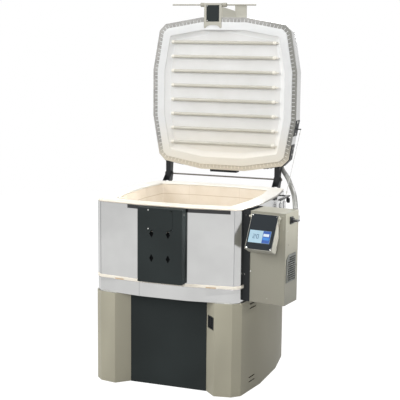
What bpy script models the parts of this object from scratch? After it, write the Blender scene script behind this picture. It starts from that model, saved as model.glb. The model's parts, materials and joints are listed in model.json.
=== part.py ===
# Glass fusing kiln: a top-opening square kiln with a lid full of quartz-tube elements, on a cabinet base.
# Metres, +Z up, the front faces -Y. It is modelled about the upright through the middle of the chamber,
# and at the end all of it is moved so that the origin lies on the floor under the middle of the whole kiln.
# The lid is shown open. Lid pieces are modelled as they lie closed and hang from an empty on the hinge pin.
import math

import bmesh
import bpy
from mathutils import Matrix, Vector

# Gaps and sheets
seat_gap = 0.0003
running_gap = 0.0005
weld_gap = 0.00003
sheet = 0.0015
plate_steel = 0.003
label_sheet = 0.001
overrun = 0.02
crease_angle = 35.0

# Plan of the kiln body: a square whose sides bow out in two bends, with narrow cut corners
body_half_width = 0.395
body_flat_half = 0.120
body_bow = 0.0305
body_corner_inset = 0.056
brick_thickness = 0.0752
chamber_corner_cut = 0.006

# Cabinet base: the same kind of plan, with two wings and a recessed front
base_overhang = 0.0065
base_flat_half = 0.130
base_bow = 0.0295
base_corner_inset = 0.0655
base_height = 0.4487
wing_run = 0.0814
wing_bow = 0.0144
door_run = 0.058
door_recess = 0.0579
door_flange = 0.022
deck_thickness = 0.002
panel_side_gap = 0.0011
slot_length = 0.064
slot_height = 0.005
slot_pitch = 0.021
slot_middle_share = 0.557
slot_upper_drop = 0.0457
slot_lower_z = 0.042

# Vent grille on the right wing
grille_width = 0.058
grille_height = 0.060
grille_thickness = 0.003
grille_drop = 0.1002
grille_from_door = 0.045
grille_rows = 6
grille_columns = 2
grille_border = 0.006
grille_bar = 0.0035

# Heights up the kiln
pan_height = 0.0675
slab_height = 0.0145
slab_lip = 0.003
slab_pad_rise = 0.003
slab_pad_gap = 0.002
jacket_height = 0.3537
rim_height = 0.0083
upper_course = 0.049

# Jacket
strip_thickness = 0.001
cover_half_width = 0.112
cover_depth = 0.046
cover_bottom_gap = 0.001
cover_top_drop = 0.001
cover_overlap = 0.010
cover_back_gap = 0.0016
vent_half_width = 0.0105
vent_half_height = 0.019
vent_x = 0.0415
vent_upper_drop = 0.121
vent_lower_drop = 0.2365
label_half_width = 0.0635
label_height = 0.100
label_top_drop = 0.003
strip_height = 0.0175
strip_left = 0.189
strip_right_margin = 0.017

# Lid
lid_overhang = 0.0061
lid_flat_half = 0.1224
lid_bow = 0.0364
lid_corner_inset = 0.0705
lid_closing_gap = 0.004
lid_depth = 0.073
lid_crown = 0.006
lid_open_angle = 90.0
ring_width = 0.025
ring_thickness = 0.0012
ring_tab_pitch = 0.0195
ring_notch_width = 0.0035
ring_notch_depth = 0.0155
border_width = 0.041
border_bevel = 0.006
field_recess = 0.0206
notch_gap = 0.001

# Quartz tubes, spread over the lid's recess
tube_count = 8
tube_row_margin = 0.0679
tube_radius = 0.0095
tube_end_gap = 0.0345
tube_cap_length = 0.0245
tube_cap_lug = 0.0082
tube_cap_radius = 0.0085
tube_cap_end_radius = 0.0064
tube_row_shift = 0.0041

# Hinges
hinge_setback = 0.0386
hinge_rise = 0.0282
hinge_left_inset = 0.0146
hinge_right_inset = 0.0306
pin_radius = 0.004
pin_bore_gap = 0.0004
pin_head_radius = 0.0075
pin_head_length = 0.005
arm_width = 0.027
arm_root_half = 0.024
arm_tail_half = 0.017
arm_tail_reach = 0.038
arm_tail_end_half = 0.014
arm_gap = 0.0008
ear_thickness = 0.004
ear_boss_radius = 0.0135
ear_drop = 0.130
ear_step = 0.012
strap_height = 0.052
strap_rise = 0.008
strap_side_share = 0.378
strap_rear_share = 0.497
bracket_plate_half = 0.034

# Lid handle
handle_center_x = -0.0635
handle_plate_width = 0.097
handle_plate_inset = 0.0559
handle_plate_overhang = 0.0731
handle_sheet = 0.0015
handle_drop = 0.0022
handle_top_rise = 0.0405
handle_mount_reach = 0.063
handle_mount_right = 0.111
handle_web_run = 0.065
handle_slant_near = 0.0315
handle_slant_far = 0.0542
handle_arch_width = 0.078
handle_arch_rise = 0.017
handle_bar_radius = 0.0036
handle_bar_length = 0.466
handle_bar_rise = 0.0143
handle_bar_overhang = 0.0641
handle_ear_margin = 0.003
handle_collar_radius = 0.011
handle_collar_length = 0.024
handle_collar_edge = 0.0025
handle_label_width = 0.070
handle_label_length = 0.085
handle_label_front_drop = 0.010

# Lid wiring cover, stay bracket and stay
wiring_half_width = 0.075
wiring_depth = 0.014
wiring_height = 0.045
stay_plate_length = 0.082
stay_plate_height = 0.066
stay_plate_thickness = 0.002
stay_plate_start = 0.002
stay_pin_radius = 0.003
stay_pin_length = 0.022
stay_pin_rise = 0.047
stay_pin_back = 0.006
stay_cable_radius = 0.0014
stay_cable_inset = 0.003
cable_end_inset = 0.129
star_inset = 0.077
star_drop = 0.0373
spring_radius = 0.0075
spring_wire = 0.0011
spring_curls = 18
spring_pitch = 0.0062
spring_front_inset = 0.214
spring_rear_inset = 0.143
spring_drop = 0.0173
spring_leg = 0.010
spring_leg_plain = 0.008
yoke_thickness = 0.006
yoke_width = 0.016
yoke_overhang = 0.014
star_radius = 0.013
star_waist_share = 0.55
star_length = 0.012
star_points = 6
spring_stand_off = 0.016

# Control box, in its own frame on the front facet of the body's right side
box_stand_off = 0.0344
box_setback = 0.0242
box_width = 0.1759
box_depth = 0.1411
box_rise = 0.0089
box_top_drop = 0.0003
box_sheet = 0.0015
standoff_lip_gap = 0.0015
louvre_height = 0.128
louvre_length = 0.102
louvre_thickness = 0.003
louvre_front_margin = 0.012
louvre_rise = 0.1054
louvre_rows = 11
louvre_border = 0.007
louvre_corner = 0.022
switch_plate_size = 0.034
switch_plate_thickness = 0.004
switch_center_back = 0.059
switch_drop = 0.037
switch_boss_radius = 0.013
switch_boss_length = 0.008
switch_handle_length = 0.024
switch_handle_width = 0.030
switch_handle_thickness = 0.007

# Controller
controller_width = 0.1336
controller_length = 0.1692
controller_tilt = 25.7
controller_left = 0.0453
controller_top_front = 0.0150
controller_drop = 0.009
case_depth = 0.050
controller_face = 0.002
screen_width = 0.106
screen_height = 0.058
screen_thickness = 0.0012
screen_left = 0.0085
screen_drop = 0.078
tilt_pin_setback = 0.0056
tilt_pin_drop = 0.014
tilt_plate_thickness = 0.003
tilt_plate_height = 0.054
tilt_flange_width = 0.0225
tilt_arm_thickness = 0.003
tilt_arm_boss = 0.010
tilt_knob_radius = 0.0055
tilt_knob_length = 0.008
tilt_range = 15.0

# Conduit from the lid down behind the control box. Its route is given as shares of the way in x and in y from
# its head to its foot, with the rise of each point over the box's top
conduit_radius = 0.0122
conduit_rib = 0.0012
conduit_bore = 0.0092
conduit_ribs = 84
conduit_bends = 60
conduit_plain_samples = 4
conduit_head_run = 0.012
conduit_foot_run = 0.015
conduit_shares = [
    (0.023, 0.0153, 0.0954),
    (0.0663, 0.0345, 0.0826),
    (0.1164, 0.055, 0.0712),
    (0.1662, 0.0783, 0.0612),
    (0.2451, 0.1249, 0.0452),
    (0.3419, 0.2081, 0.0279),
    (0.5007, 0.3782, 0.0202),
    (0.8038, 0.7682, 0.0374),
    (0.9186, 0.9093, 0.0292),
    (0.9688, 0.969, 0.0171),
    (0.9883, 0.9914, 0.0056),
]
elbow_half = 0.0155
elbow_length = 0.042
elbow_rise = 0.0205
elbow_setback = 0.0413
elbow_seat_rise = 0.0021
fitting_stand_off = 0.0220
fitting_from_side = 0.0252
fitting_drop = 0.025
fitting_length = 0.040
fitting_nut_radius = 0.0150
fitting_nut_length = 0.008

# Thermocouple through the front wall, and the relay inside the control box
probe_radius = 0.004
probe_length = 0.105
probe_head_radius = 0.011
probe_head_length = 0.030
probe_rise = 0.1587
relay_width = 0.045
relay_depth = 0.030
relay_height = 0.060
relay_rise = 0.190

# Places that follow from the sizes: heights
pan_bottom = base_height + seat_gap
pan_top = pan_bottom + pan_height
slab_bottom = pan_top + seat_gap
slab_top = slab_bottom + slab_height
jacket_bottom = slab_top + seat_gap
jacket_top = jacket_bottom + jacket_height
rim_bottom = jacket_top + seat_gap
rim_top = rim_bottom + rim_height
lid_plane = rim_top + lid_closing_gap
lid_back = lid_plane + lid_depth
box_bottom = base_height + box_rise
box_top = jacket_top - box_top_drop
hinge_z = lid_plane + hinge_rise
spring_top_z = jacket_top - spring_drop
star_z = jacket_top - star_drop

# Plans are (half width, half of the flat, corner's far side, corner's near side)
body_corner_far = body_half_width - body_bow
body_corner_near = body_half_width - body_corner_inset
body_plan = (body_half_width, body_flat_half, body_corner_far, body_corner_near)
star_y = body_corner_near - star_inset
cable_end_y = body_corner_near - cable_end_inset
spring_rear_y = body_corner_near - spring_rear_inset
spring_front_y = body_corner_near - spring_front_inset
base_half_width = body_half_width + base_overhang
base_corner_far = base_half_width - base_bow
base_corner_near = base_half_width - base_corner_inset
base_plan = (base_half_width, base_flat_half, base_corner_far, base_corner_near)
wing_fold_x = base_corner_near - wing_run
wing_fold_y = base_corner_far + wing_bow
door_edge_x = wing_fold_x - door_run
door_edge_y = wing_fold_y - door_recess
lid_half_width = body_half_width + lid_overhang
lid_corner_far = lid_half_width - lid_bow
lid_corner_near = lid_half_width - lid_corner_inset
lid_plan = (lid_half_width, lid_flat_half, lid_corner_far, lid_corner_near)
hinge_y = lid_half_width + hinge_setback
hinge_left_x = hinge_left_inset - lid_corner_near
hinge_right_x = lid_corner_near - hinge_right_inset
handle_plate_back = lid_half_width - handle_plate_inset
handle_plate_front = lid_half_width + handle_plate_overhang
handle_bar_front = lid_half_width + handle_bar_overhang
recess_half = lid_half_width - ring_width - running_gap - border_width
tube_half_length = recess_half - tube_end_gap - tube_cap_length
tube_pitch = (recess_half - tube_row_margin) * 2 / (tube_count - 1)
elbow_seat = lid_back + elbow_seat_rise
conduit_head = (hinge_right_x, hinge_y + lid_back + elbow_rise - hinge_z,
                hinge_z + hinge_y - lid_half_width + elbow_setback + seat_gap)


def clear_scene():
    for item in list(bpy.data.objects):
        bpy.data.objects.remove(item, do_unlink=True)


def material(name, colour, metallic, roughness):
    found = bpy.data.materials.get(name)
    if found:
        return found
    made = bpy.data.materials.new(name)
    made.use_nodes = True
    shader = made.node_tree.nodes["Principled BSDF"]
    shader.inputs["Base Color"].default_value = (*colour, 1.0)
    shader.inputs["Metallic"].default_value = metallic
    shader.inputs["Roughness"].default_value = roughness
    return made


finishes = {
    "polished_stainless": ((0.62, 0.62, 0.62), 1.0, 0.18),
    "brushed_stainless": ((0.60, 0.60, 0.60), 1.0, 0.35),
    "zinc_steel": ((0.45, 0.45, 0.46), 1.0, 0.40),
    "warm_grey_powder": ((0.25, 0.23, 0.18), 0.0, 0.50),
    "black_powder": ((0.010, 0.011, 0.013), 0.0, 0.45),
    "firebrick": ((0.80, 0.62, 0.43), 0.0, 0.95),
    "ceramic_fibre": ((0.86, 0.86, 0.84), 0.0, 0.95),
    "quartz": ((0.55, 0.52, 0.45), 0.0, 0.15),
    "black_plastic": ((0.012, 0.012, 0.013), 0.0, 0.40),
    "screen_glass": ((0.20, 0.45, 0.65), 0.0, 0.10),
    "spring_steel": ((0.06, 0.06, 0.06), 1.0, 0.40),
    "porcelain": ((0.80, 0.78, 0.72), 0.0, 0.30),
}


def finish_object(item, finish, parent=None, smooth=False):
    item.data.materials.append(material(finish, *finishes[finish]))
    if parent is not None:
        item.parent = parent
    if smooth and item.type == "MESH":
        item.data.shade_smooth()
        item.data.set_sharp_from_angle(angle=math.radians(crease_angle))
    return item


def new_object(name, data):
    item = bpy.data.objects.new(name, data)
    bpy.context.collection.objects.link(item)
    return item


def mesh_object(name, points, faces, finish, parent=None, smooth=False):
    mesh = bpy.data.meshes.new(name)
    mesh.from_pydata([tuple(p) for p in points], [], faces)
    shape = bmesh.new()
    shape.from_mesh(mesh)
    bmesh.ops.recalc_face_normals(shape, faces=shape.faces)
    shape.to_mesh(mesh)
    shape.free()
    return finish_object(new_object(name, mesh), finish, parent, smooth)


# Outlines are lists of (x, y), anticlockwise seen from above
def bowed_square(plan):
    half, flat, far, near = plan
    side = [(half, -flat), (half, flat), (far, near), (near, far)]
    points = []
    for _ in range(4):
        points += side
        side = [(-y, x) for x, y in side]
    return points


def shrink_plan(plan, wall):
    half, flat, far, near = plan
    run, fall = near - flat, half - far
    length = math.hypot(run, fall)
    nx, ny = fall / length, run / length
    reach = nx * flat + ny * half - wall
    new_half = half - wall
    new_flat = (reach - ny * new_half) / nx
    corner = far + near - wall * math.sqrt(2.0)
    new_near = (reach - ny * corner) / (nx - ny)
    new_far = corner - new_near
    diagonal = reach / (nx + ny)
    if new_near > diagonal - chamber_corner_cut:
        new_near = diagonal - chamber_corner_cut
        new_far = (reach - nx * new_near) / ny
    return (new_half, new_flat, new_far, new_near)


def offset_line(points, distance, closed):
    # Each point moves to the left of the way the line runs, with mitred bends
    count = len(points)
    moved = []
    for index, (x, y) in enumerate(points):
        normals = []
        for a, b in ((index - 1, index), (index, index + 1)):
            if not closed and (a < 0 or b >= count):
                continue
            dx = points[b % count][0] - points[a % count][0]
            dy = points[b % count][1] - points[a % count][1]
            length = math.hypot(dx, dy)
            normals.append((-dy / length, dx / length))
        nx = sum(n[0] for n in normals) / len(normals)
        ny = sum(n[1] for n in normals) / len(normals)
        square = nx * nx + ny * ny
        moved.append((x + nx * distance / square, y + ny * distance / square))
    return moved


def prism(name, outline, low, high, finish, parent=None):
    count = len(outline)
    points = [(x, y, low) for x, y in outline] + [(x, y, high) for x, y in outline]
    faces = [list(range(count)), list(range(count, 2 * count))]
    faces += [[i, (i + 1) % count, count + (i + 1) % count, count + i] for i in range(count)]
    return mesh_object(name, points, faces, finish, parent)


def ring_stack(name, rings, finish, parent=None, closed_loop=True):
    # rings: lists of (x, y, z) with one count; skin them in order and, for a wall, back to the first
    count = len(rings[0])
    points = [p for ring in rings for p in ring]
    faces = []
    pairs = len(rings) if closed_loop else len(rings) - 1
    for level in range(pairs):
        a, b = level * count, ((level + 1) % len(rings)) * count
        faces += [[a + i, a + (i + 1) % count, b + (i + 1) % count, b + i] for i in range(count)]
    if not closed_loop:
        faces += [list(range(count)), list(range((len(rings) - 1) * count, len(rings) * count))]
    return mesh_object(name, points, faces, finish, parent)


def at_height(outline, height):
    return [(x, y, height) for x, y in outline]


def wall_ring(name, outer, inner, low, high, finish, parent=None):
    rings = [at_height(outer, low), at_height(outer, high), at_height(inner, high), at_height(inner, low)]
    return ring_stack(name, rings, finish, parent)


def tray(name, plan, wall, low, high, floor_low, finish, parent=None):
    # A pan of one sheet: open upwards when floor_low is true, otherwise open downwards
    outer, inner = bowed_square(plan), bowed_square(shrink_plan(plan, wall))
    if floor_low:
        levels = (low, high, high, low + wall)
    else:
        levels = (high, low, low, high - wall)
    rings = [at_height(outline, level) for outline, level in zip((outer, outer, inner, inner), levels)]
    return ring_stack(name, rings, finish, parent, closed_loop=False)


def box(name, low, high, finish, parent=None):
    (x0, y0, z0), (x1, y1, z1) = low, high
    return prism(name, [(x0, y0), (x1, y0), (x1, y1), (x0, y1)], z0, z1, finish, parent)


def extruded(name, profile, axis, start, end, finish, parent=None, smooth=False):
    # profile lies in the plane square to the axis: (y, z) for x, (x, z) for y
    def place(a, b, along):
        return (along, a, b) if axis == "x" else (a, along, b)
    count = len(profile)
    points = [place(a, b, start) for a, b in profile] + [place(a, b, end) for a, b in profile]
    faces = [list(range(count)), list(range(count, 2 * count))]
    faces += [[i, (i + 1) % count, count + (i + 1) % count, count + i] for i in range(count)]
    return mesh_object(name, points, faces, finish, parent, smooth)


def turned(name, profile, start, direction, finish, parent=None, steps=20):
    # profile: (distance along, radius) pairs, turned about a line from start
    direction = Vector(direction).normalized()
    side = direction.orthogonal().normalized()
    other = direction.cross(side)
    rings = []
    for along, radius in profile:
        centre = Vector(start) + direction * along
        ring = []
        for step in range(steps):
            angle = math.tau * step / steps
            ring.append(tuple(centre + (side * math.cos(angle) + other * math.sin(angle)) * radius))
        rings.append(ring)
    item = ring_stack(name, rings, finish, parent, closed_loop=False)
    item.data.shade_smooth()
    item.data.set_sharp_from_angle(angle=math.radians(crease_angle))
    return item


def arc(centre, radius, first, last, steps):
    return [(centre[0] + radius * math.cos(math.radians(first + (last - first) * i / steps)),
             centre[1] + radius * math.sin(math.radians(first + (last - first) * i / steps)))
            for i in range(steps + 1)]


def boolean(target, tools, operation):
    for tool in tools:
        step = target.modifiers.new(operation.lower(), "BOOLEAN")
        step.operation = operation
        step.solver = "EXACT"
        step.object = tool
        tool.hide_render = True
        tool.display_type = "WIRE"


def cut(target, *tools):
    boolean(target, tools, "DIFFERENCE")


def join(target, *tools):
    boolean(target, tools, "UNION")


def between(a, b, share):
    return (a[0] + (b[0] - a[0]) * share, a[1] + (b[1] - a[1]) * share)


def toward(a, b, distance):
    return between(a, b, distance / math.hypot(b[0] - a[0], b[1] - a[1]))


def strip_panel(name, points, thickness, low, high, finish, parent=None, gap=0.0):
    # points: the line of the panel's inner face, run anticlockwise round the kiln; the sheet lies outside it
    line = [toward(points[0], points[1], gap)] + list(points[1:-1]) + [toward(points[-1], points[-2], gap)]
    outer = offset_line(line, -thickness, False)
    return prism(name, outer + line[::-1], low, high, finish, parent)


def smooth_route(points, count):
    # Straight first and last runs, Catmull-Rom through the points between, then evenly spaced samples
    padded = [Vector(p) for p in points]
    fine = [padded[0]]
    steps = 24
    for i in range(1, len(padded) - 2):
        a, b, c, d = padded[i - 1:i + 3]
        for k in range(steps):
            t = k / steps
            fine.append(0.5 * ((2 * b) + (c - a) * t + (2 * a - 5 * b + 4 * c - d) * t * t
                               + (3 * b - a - 3 * c + d) * t * t * t))
    fine += padded[-2:]
    lengths = [0.0]
    for a, b in zip(fine, fine[1:]):
        lengths.append(lengths[-1] + (b - a).length)
    result, seek = [], 0
    for i in range(count):
        wanted = lengths[-1] * i / (count - 1)
        while seek < len(lengths) - 2 and lengths[seek + 1] < wanted:
            seek += 1
        share = (wanted - lengths[seek]) / max(lengths[seek + 1] - lengths[seek], 1e-9)
        result.append(fine[seek].lerp(fine[seek + 1], share))
    return result, lengths[-1]


def tube(name, points, radii, depth, resolution, finish, parent=None):
    curve = bpy.data.curves.new(name, "CURVE")
    curve.dimensions = "3D"
    curve.bevel_depth = depth
    curve.bevel_resolution = resolution
    curve.render_resolution_u = 0
    curve.use_fill_caps = True
    line = curve.splines.new("POLY")
    line.points.add(len(points) - 1)
    for place, point, radius in zip(line.points, points, radii):
        place.co = (*point, 1.0)
        place.radius = radius
    return finish_object(new_object(name, curve), finish, parent)


def as_mesh(item, finish):
    # The same shape as a mesh object, which can be cut
    name = item.name
    item.name = name + "_curve"
    mesh = bpy.data.meshes.new_from_object(item.evaluated_get(bpy.context.evaluated_depsgraph_get()))
    bpy.data.objects.remove(item, do_unlink=True)
    shape = bmesh.new()
    shape.from_mesh(mesh)
    bmesh.ops.remove_doubles(shape, verts=shape.verts, dist=weld_gap)
    bmesh.ops.recalc_face_normals(shape, faces=shape.faces)
    shape.to_mesh(mesh)
    shape.free()
    mesh.materials.clear()
    return finish_object(new_object(name, mesh), finish)


# Cabinet base
def base_front_half():
    # Right half of the base's outline, from the front flange round to the right corner
    return [(door_edge_x - door_flange, -door_edge_y), (door_edge_x, -door_edge_y),
            (wing_fold_x, -wing_fold_y), (base_corner_near, -base_corner_far)]


def slot_cutters(side):
    # Two pairs of slots in the facet behind one front corner
    near = Vector((side * base_corner_far, -base_corner_near))
    far = Vector((side * base_half_width, -base_flat_half))
    along = (far - near).normalized()
    across = Vector((along.y, -along.x))
    start = (far - near).length * slot_middle_share - slot_length / 2
    tools = []
    for low in (slot_lower_z, base_height - slot_upper_drop):
        for row in range(2):
            a = near + along * start
            b = a + along * slot_length
            reach = across * slot_height
            outline = [a - reach, b - reach, b + reach, a + reach]
            z = low + row * slot_pitch
            tools.append(prism("slot_cutter", outline, z, z + slot_height, "black_plastic"))
    return tools


def make_base():
    right = base_front_half()
    around = bowed_square(base_plan)[15:] + bowed_square(base_plan)[:11]
    left = [(-x, y) for x, y in reversed(right)]
    line = right + around + left
    inner = offset_line(line, sheet, False)
    cabinet = prism("base_cabinet", line + inner[::-1], 0.0, base_height, "warm_grey_powder")
    cut(cabinet, *(slot_cutters(1) + slot_cutters(-1)))

    closed = line[1:-1]
    deck_outline = offset_line(closed, sheet + seat_gap, True)
    prism("base_deck", deck_outline, base_height - deck_thickness, base_height, "zinc_steel")

    half = door_edge_x - panel_side_gap
    back = -door_edge_y - seat_gap
    front = back - sheet
    prism("base_front_panel", [(-half, front), (half, front), (half, back), (-half, back)],
          0.0, base_height, "black_powder")

    fold = Vector((door_edge_x, -door_edge_y))
    along = (Vector((wing_fold_x, -wing_fold_y)) - fold).normalized()
    out = Vector((along.y, -along.x))
    centre = fold + along * grille_from_door

    def on_facet(a, b):
        return tuple(centre + along * a + out * b)
    half = grille_width / 2
    grille_low = base_height - grille_drop - grille_height / 2
    low, high = seat_gap, seat_gap + grille_thickness
    grille = prism("base_vent_grille", [on_facet(-half, low), on_facet(half, low), on_facet(half, high),
                                        on_facet(-half, high)],
                   grille_low, grille_low + grille_height, "black_plastic")
    cell = (grille_width - grille_border * 2 - grille_bar * (grille_columns - 1)) / grille_columns
    rise = (grille_height - grille_border * 2 - grille_bar * (grille_rows - 1)) / grille_rows
    tools = []
    for column in range(grille_columns):
        a = -half + grille_border + column * (cell + grille_bar)
        for row in range(grille_rows):
            z = grille_low + grille_border + row * (rise + grille_bar)
            outline = [on_facet(a, -sheet), on_facet(a + cell, -sheet), on_facet(a + cell, high + sheet),
                       on_facet(a, high + sheet)]
            tools.append(prism("grille_cutter", outline, z, z + rise, "black_plastic"))
    cut(grille, *tools)


def chamber_plan():
    return shrink_plan(body_plan, sheet + seat_gap + brick_thickness)


# Floor pan, floor slab and its insulation
def make_floor():
    tray("floor_pan", body_plan, sheet, pan_bottom, pan_top, True, "polished_stainless")
    filling = shrink_plan(body_plan, sheet + seat_gap)
    prism("floor_insulation", bowed_square(filling), pan_bottom + sheet + seat_gap, pan_top, "ceramic_fibre")
    # The walls stand on the slab's edge, and its raised middle is the chamber's floor
    lip = bowed_square(shrink_plan(body_plan, -slab_lip))
    pad = bowed_square(shrink_plan(chamber_plan(), slab_pad_gap))
    rings = [at_height(lip, slab_bottom), at_height(lip, slab_top), at_height(pad, slab_top),
             at_height(pad, slab_top + slab_pad_rise)]
    ring_stack("floor_slab", rings, "firebrick", closed_loop=False)


# Jacket, brick courses and rim
def make_body():
    # The front and rear sheets carry the cut corners; the side sheets butt against them
    line = bowed_square(shrink_plan(body_plan, sheet))
    seam = (cover_half_width - cover_overlap, line[13][1])
    sheets = {
        "jacket_right": [line[15], line[0], line[1], line[2]],
        "jacket_rear": line[2:8],
        "jacket_left": line[7:11],
        "jacket_front_left": line[10:13] + [(-seam[0], seam[1])],
        "jacket_front_right": [seam] + line[13:16],
    }
    for name, path in sheets.items():
        strip_panel(name, path, sheet, jacket_bottom, jacket_top, "brushed_stainless", gap=seat_gap)

    outer, inner = bowed_square(shrink_plan(body_plan, sheet + seat_gap)), bowed_square(chamber_plan())
    top = jacket_top - seat_gap
    split = top - upper_course
    wall_ring("brick_wall", outer, inner, jacket_bottom, split - seat_gap, "firebrick")
    wall_ring("brick_top_course", outer, inner, split, top, "firebrick")
    wall_ring("rim_blanket", bowed_square(shrink_plan(body_plan, seat_gap)), inner, rim_bottom, rim_top,
              "ceramic_fibre")

    band = bowed_square(shrink_plan(body_plan, -seat_gap))
    left_end = toward(band[12], band[11], strip_left - body_flat_half)
    right_end = toward(band[13], band[14], body_corner_near - strip_right_margin - body_flat_half)
    strip_panel("rim_strip", [left_end, band[12], band[13], right_end], strip_thickness, jacket_top - strip_height,
                jacket_top, "black_powder")


# Front cover over the thermocouple's head, with its bare plate
def make_front_cover():
    face = -body_half_width - cover_depth
    back = -body_half_width - cover_back_gap
    low, high = slab_top + cover_bottom_gap, jacket_top - cover_top_drop
    half = cover_half_width
    cover = box("front_cover", (-half, face, low), (half, back, high), "black_powder")
    hollow = box("cover_cutter", (-half + sheet, face + sheet, low + sheet),
                 (half - sheet, back + overrun, high - sheet), "black_powder")
    tools = [hollow]
    for drop in (vent_upper_drop, vent_lower_drop):
        for side in (-1, 1):
            x, z = side * vent_x, jacket_top - drop
            diamond = [(x - vent_half_width, z), (x, z - vent_half_height), (x + vent_half_width, z),
                       (x, z + vent_half_height)]
            tools.append(extruded("vent_cutter", diamond, "y", face - overrun, face + sheet + overrun,
                                  "black_powder"))
    cut(cover, *tools)
    plate_back = face - seat_gap
    plate_top = high - label_top_drop
    box("front_plate", (-label_half_width, plate_back - label_sheet, plate_top - label_height),
        (label_half_width, plate_back, plate_top), "black_powder")


# Control box, on the front facet of the right side
def box_frame():
    near = Vector((body_corner_far, -body_corner_near))
    far = Vector((body_half_width, -body_flat_half))
    along = (far - near).normalized()
    frame = new_object("control_box_frame", None)
    frame.location = (near.x, near.y, 0.0)
    frame.rotation_euler.z = math.atan2(along.y, along.x) - math.pi / 2
    return frame


def make_control_box(frame):
    x0, x1 = box_stand_off, box_stand_off + box_width
    y0, y1 = box_setback, box_setback + box_depth
    z0, z1 = box_bottom, box_top
    t = box_sheet
    shell = box("control_box", (x0 + t + seat_gap, y0, z0), (x1, y1, z1), "warm_grey_powder", frame)
    inside = box("box_cutter", (x0 - overrun, y0 + t, z0 + t), (x1 - t, y1 - t, z1 - t), "warm_grey_powder", frame)
    ga, gb = y0 + louvre_front_margin, y0 + louvre_front_margin + louvre_length
    gl, gh = z0 + louvre_rise, z0 + louvre_rise + louvre_height
    airway = box("box_cutter", (x1 - t - overrun, ga + louvre_corner, gl + louvre_border),
                 (x1 + overrun, gb - louvre_border, gh - louvre_border), "warm_grey_powder", frame)
    cut(shell, inside, airway)
    box("control_box_plate", (x0, y0, z0), (x0 + t, y1, z1), "warm_grey_powder", frame)

    # Channel that holds the box off the hot body
    standoff = box("box_standoff", (seat_gap, y0, z0), (x0 - seat_gap, y1, z1), "black_powder", frame)
    channel = box("standoff_cutter", (seat_gap + sheet, y0 + sheet, z0 - overrun),
                  (x0 - seat_gap - sheet, y1 - sheet, z1 + overrun), "black_powder", frame)
    lip = box("standoff_cutter", (-overrun, y0 - overrun, slab_bottom - standoff_lip_gap),
              (slab_lip + standoff_lip_gap, y1 + overrun, slab_top + standoff_lip_gap), "black_powder", frame)
    cut(standoff, channel, lip)

    # Louvred grille on the right face, one upper corner cut off
    gx = x1 + seat_gap
    outline = [(ga, gl), (gb, gl), (gb, gh), (ga + louvre_corner, gh), (ga, gh - louvre_corner)]
    grille = extruded("control_box_grille", outline, "x", gx, gx + louvre_thickness, "black_plastic", frame)
    pitch = (louvre_height - louvre_border * 2) / louvre_rows
    tools = []
    for row in range(louvre_rows):
        z = gl + louvre_border + pitch * row
        top_row = z + pitch > gh - louvre_corner
        start = ga + louvre_border + (louvre_corner if top_row else 0.0)
        tools.append(box("louvre_cutter", (gx - sheet, start, z),
                         (gx + louvre_thickness + sheet, gb - louvre_border, z + pitch / 2), "black_plastic", frame))
    cut(grille, *tools)

    # The relay stands on the plate that faces the kiln
    wall = x0 + t + seat_gap
    box("relay", (wall, y0 + relay_depth, z0 + relay_rise),
        (wall + relay_depth, y0 + relay_depth + relay_width, z0 + relay_rise + relay_height),
        "black_plastic", frame)
    return x1


def make_switch(frame, face):
    y, z = box_setback + switch_center_back, box_top - switch_drop
    half = switch_plate_size / 2
    base = face + seat_gap
    box("switch_plate", (base, y - half, z - half), (base + switch_plate_thickness, y + half, z + half),
        "black_plastic", frame)
    pivot = new_object("switch_axis", None)
    pivot.parent = frame
    pivot.location = (base + switch_plate_thickness + seat_gap, y, z)
    boss = turned("switch_knob", [(0.0, switch_boss_radius), (switch_boss_length, switch_boss_radius),
                                  (switch_boss_length + sheet, switch_boss_radius - sheet)],
                  (0, 0, 0), (1, 0, 0), "black_plastic", pivot)
    grip = box("knob_grip", (switch_boss_length / 2, -switch_handle_width / 2, -switch_handle_thickness / 2),
               (switch_boss_length + switch_handle_length, switch_handle_width / 2, switch_handle_thickness / 2),
               "black_plastic", pivot)
    join(boss, grip)


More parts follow.
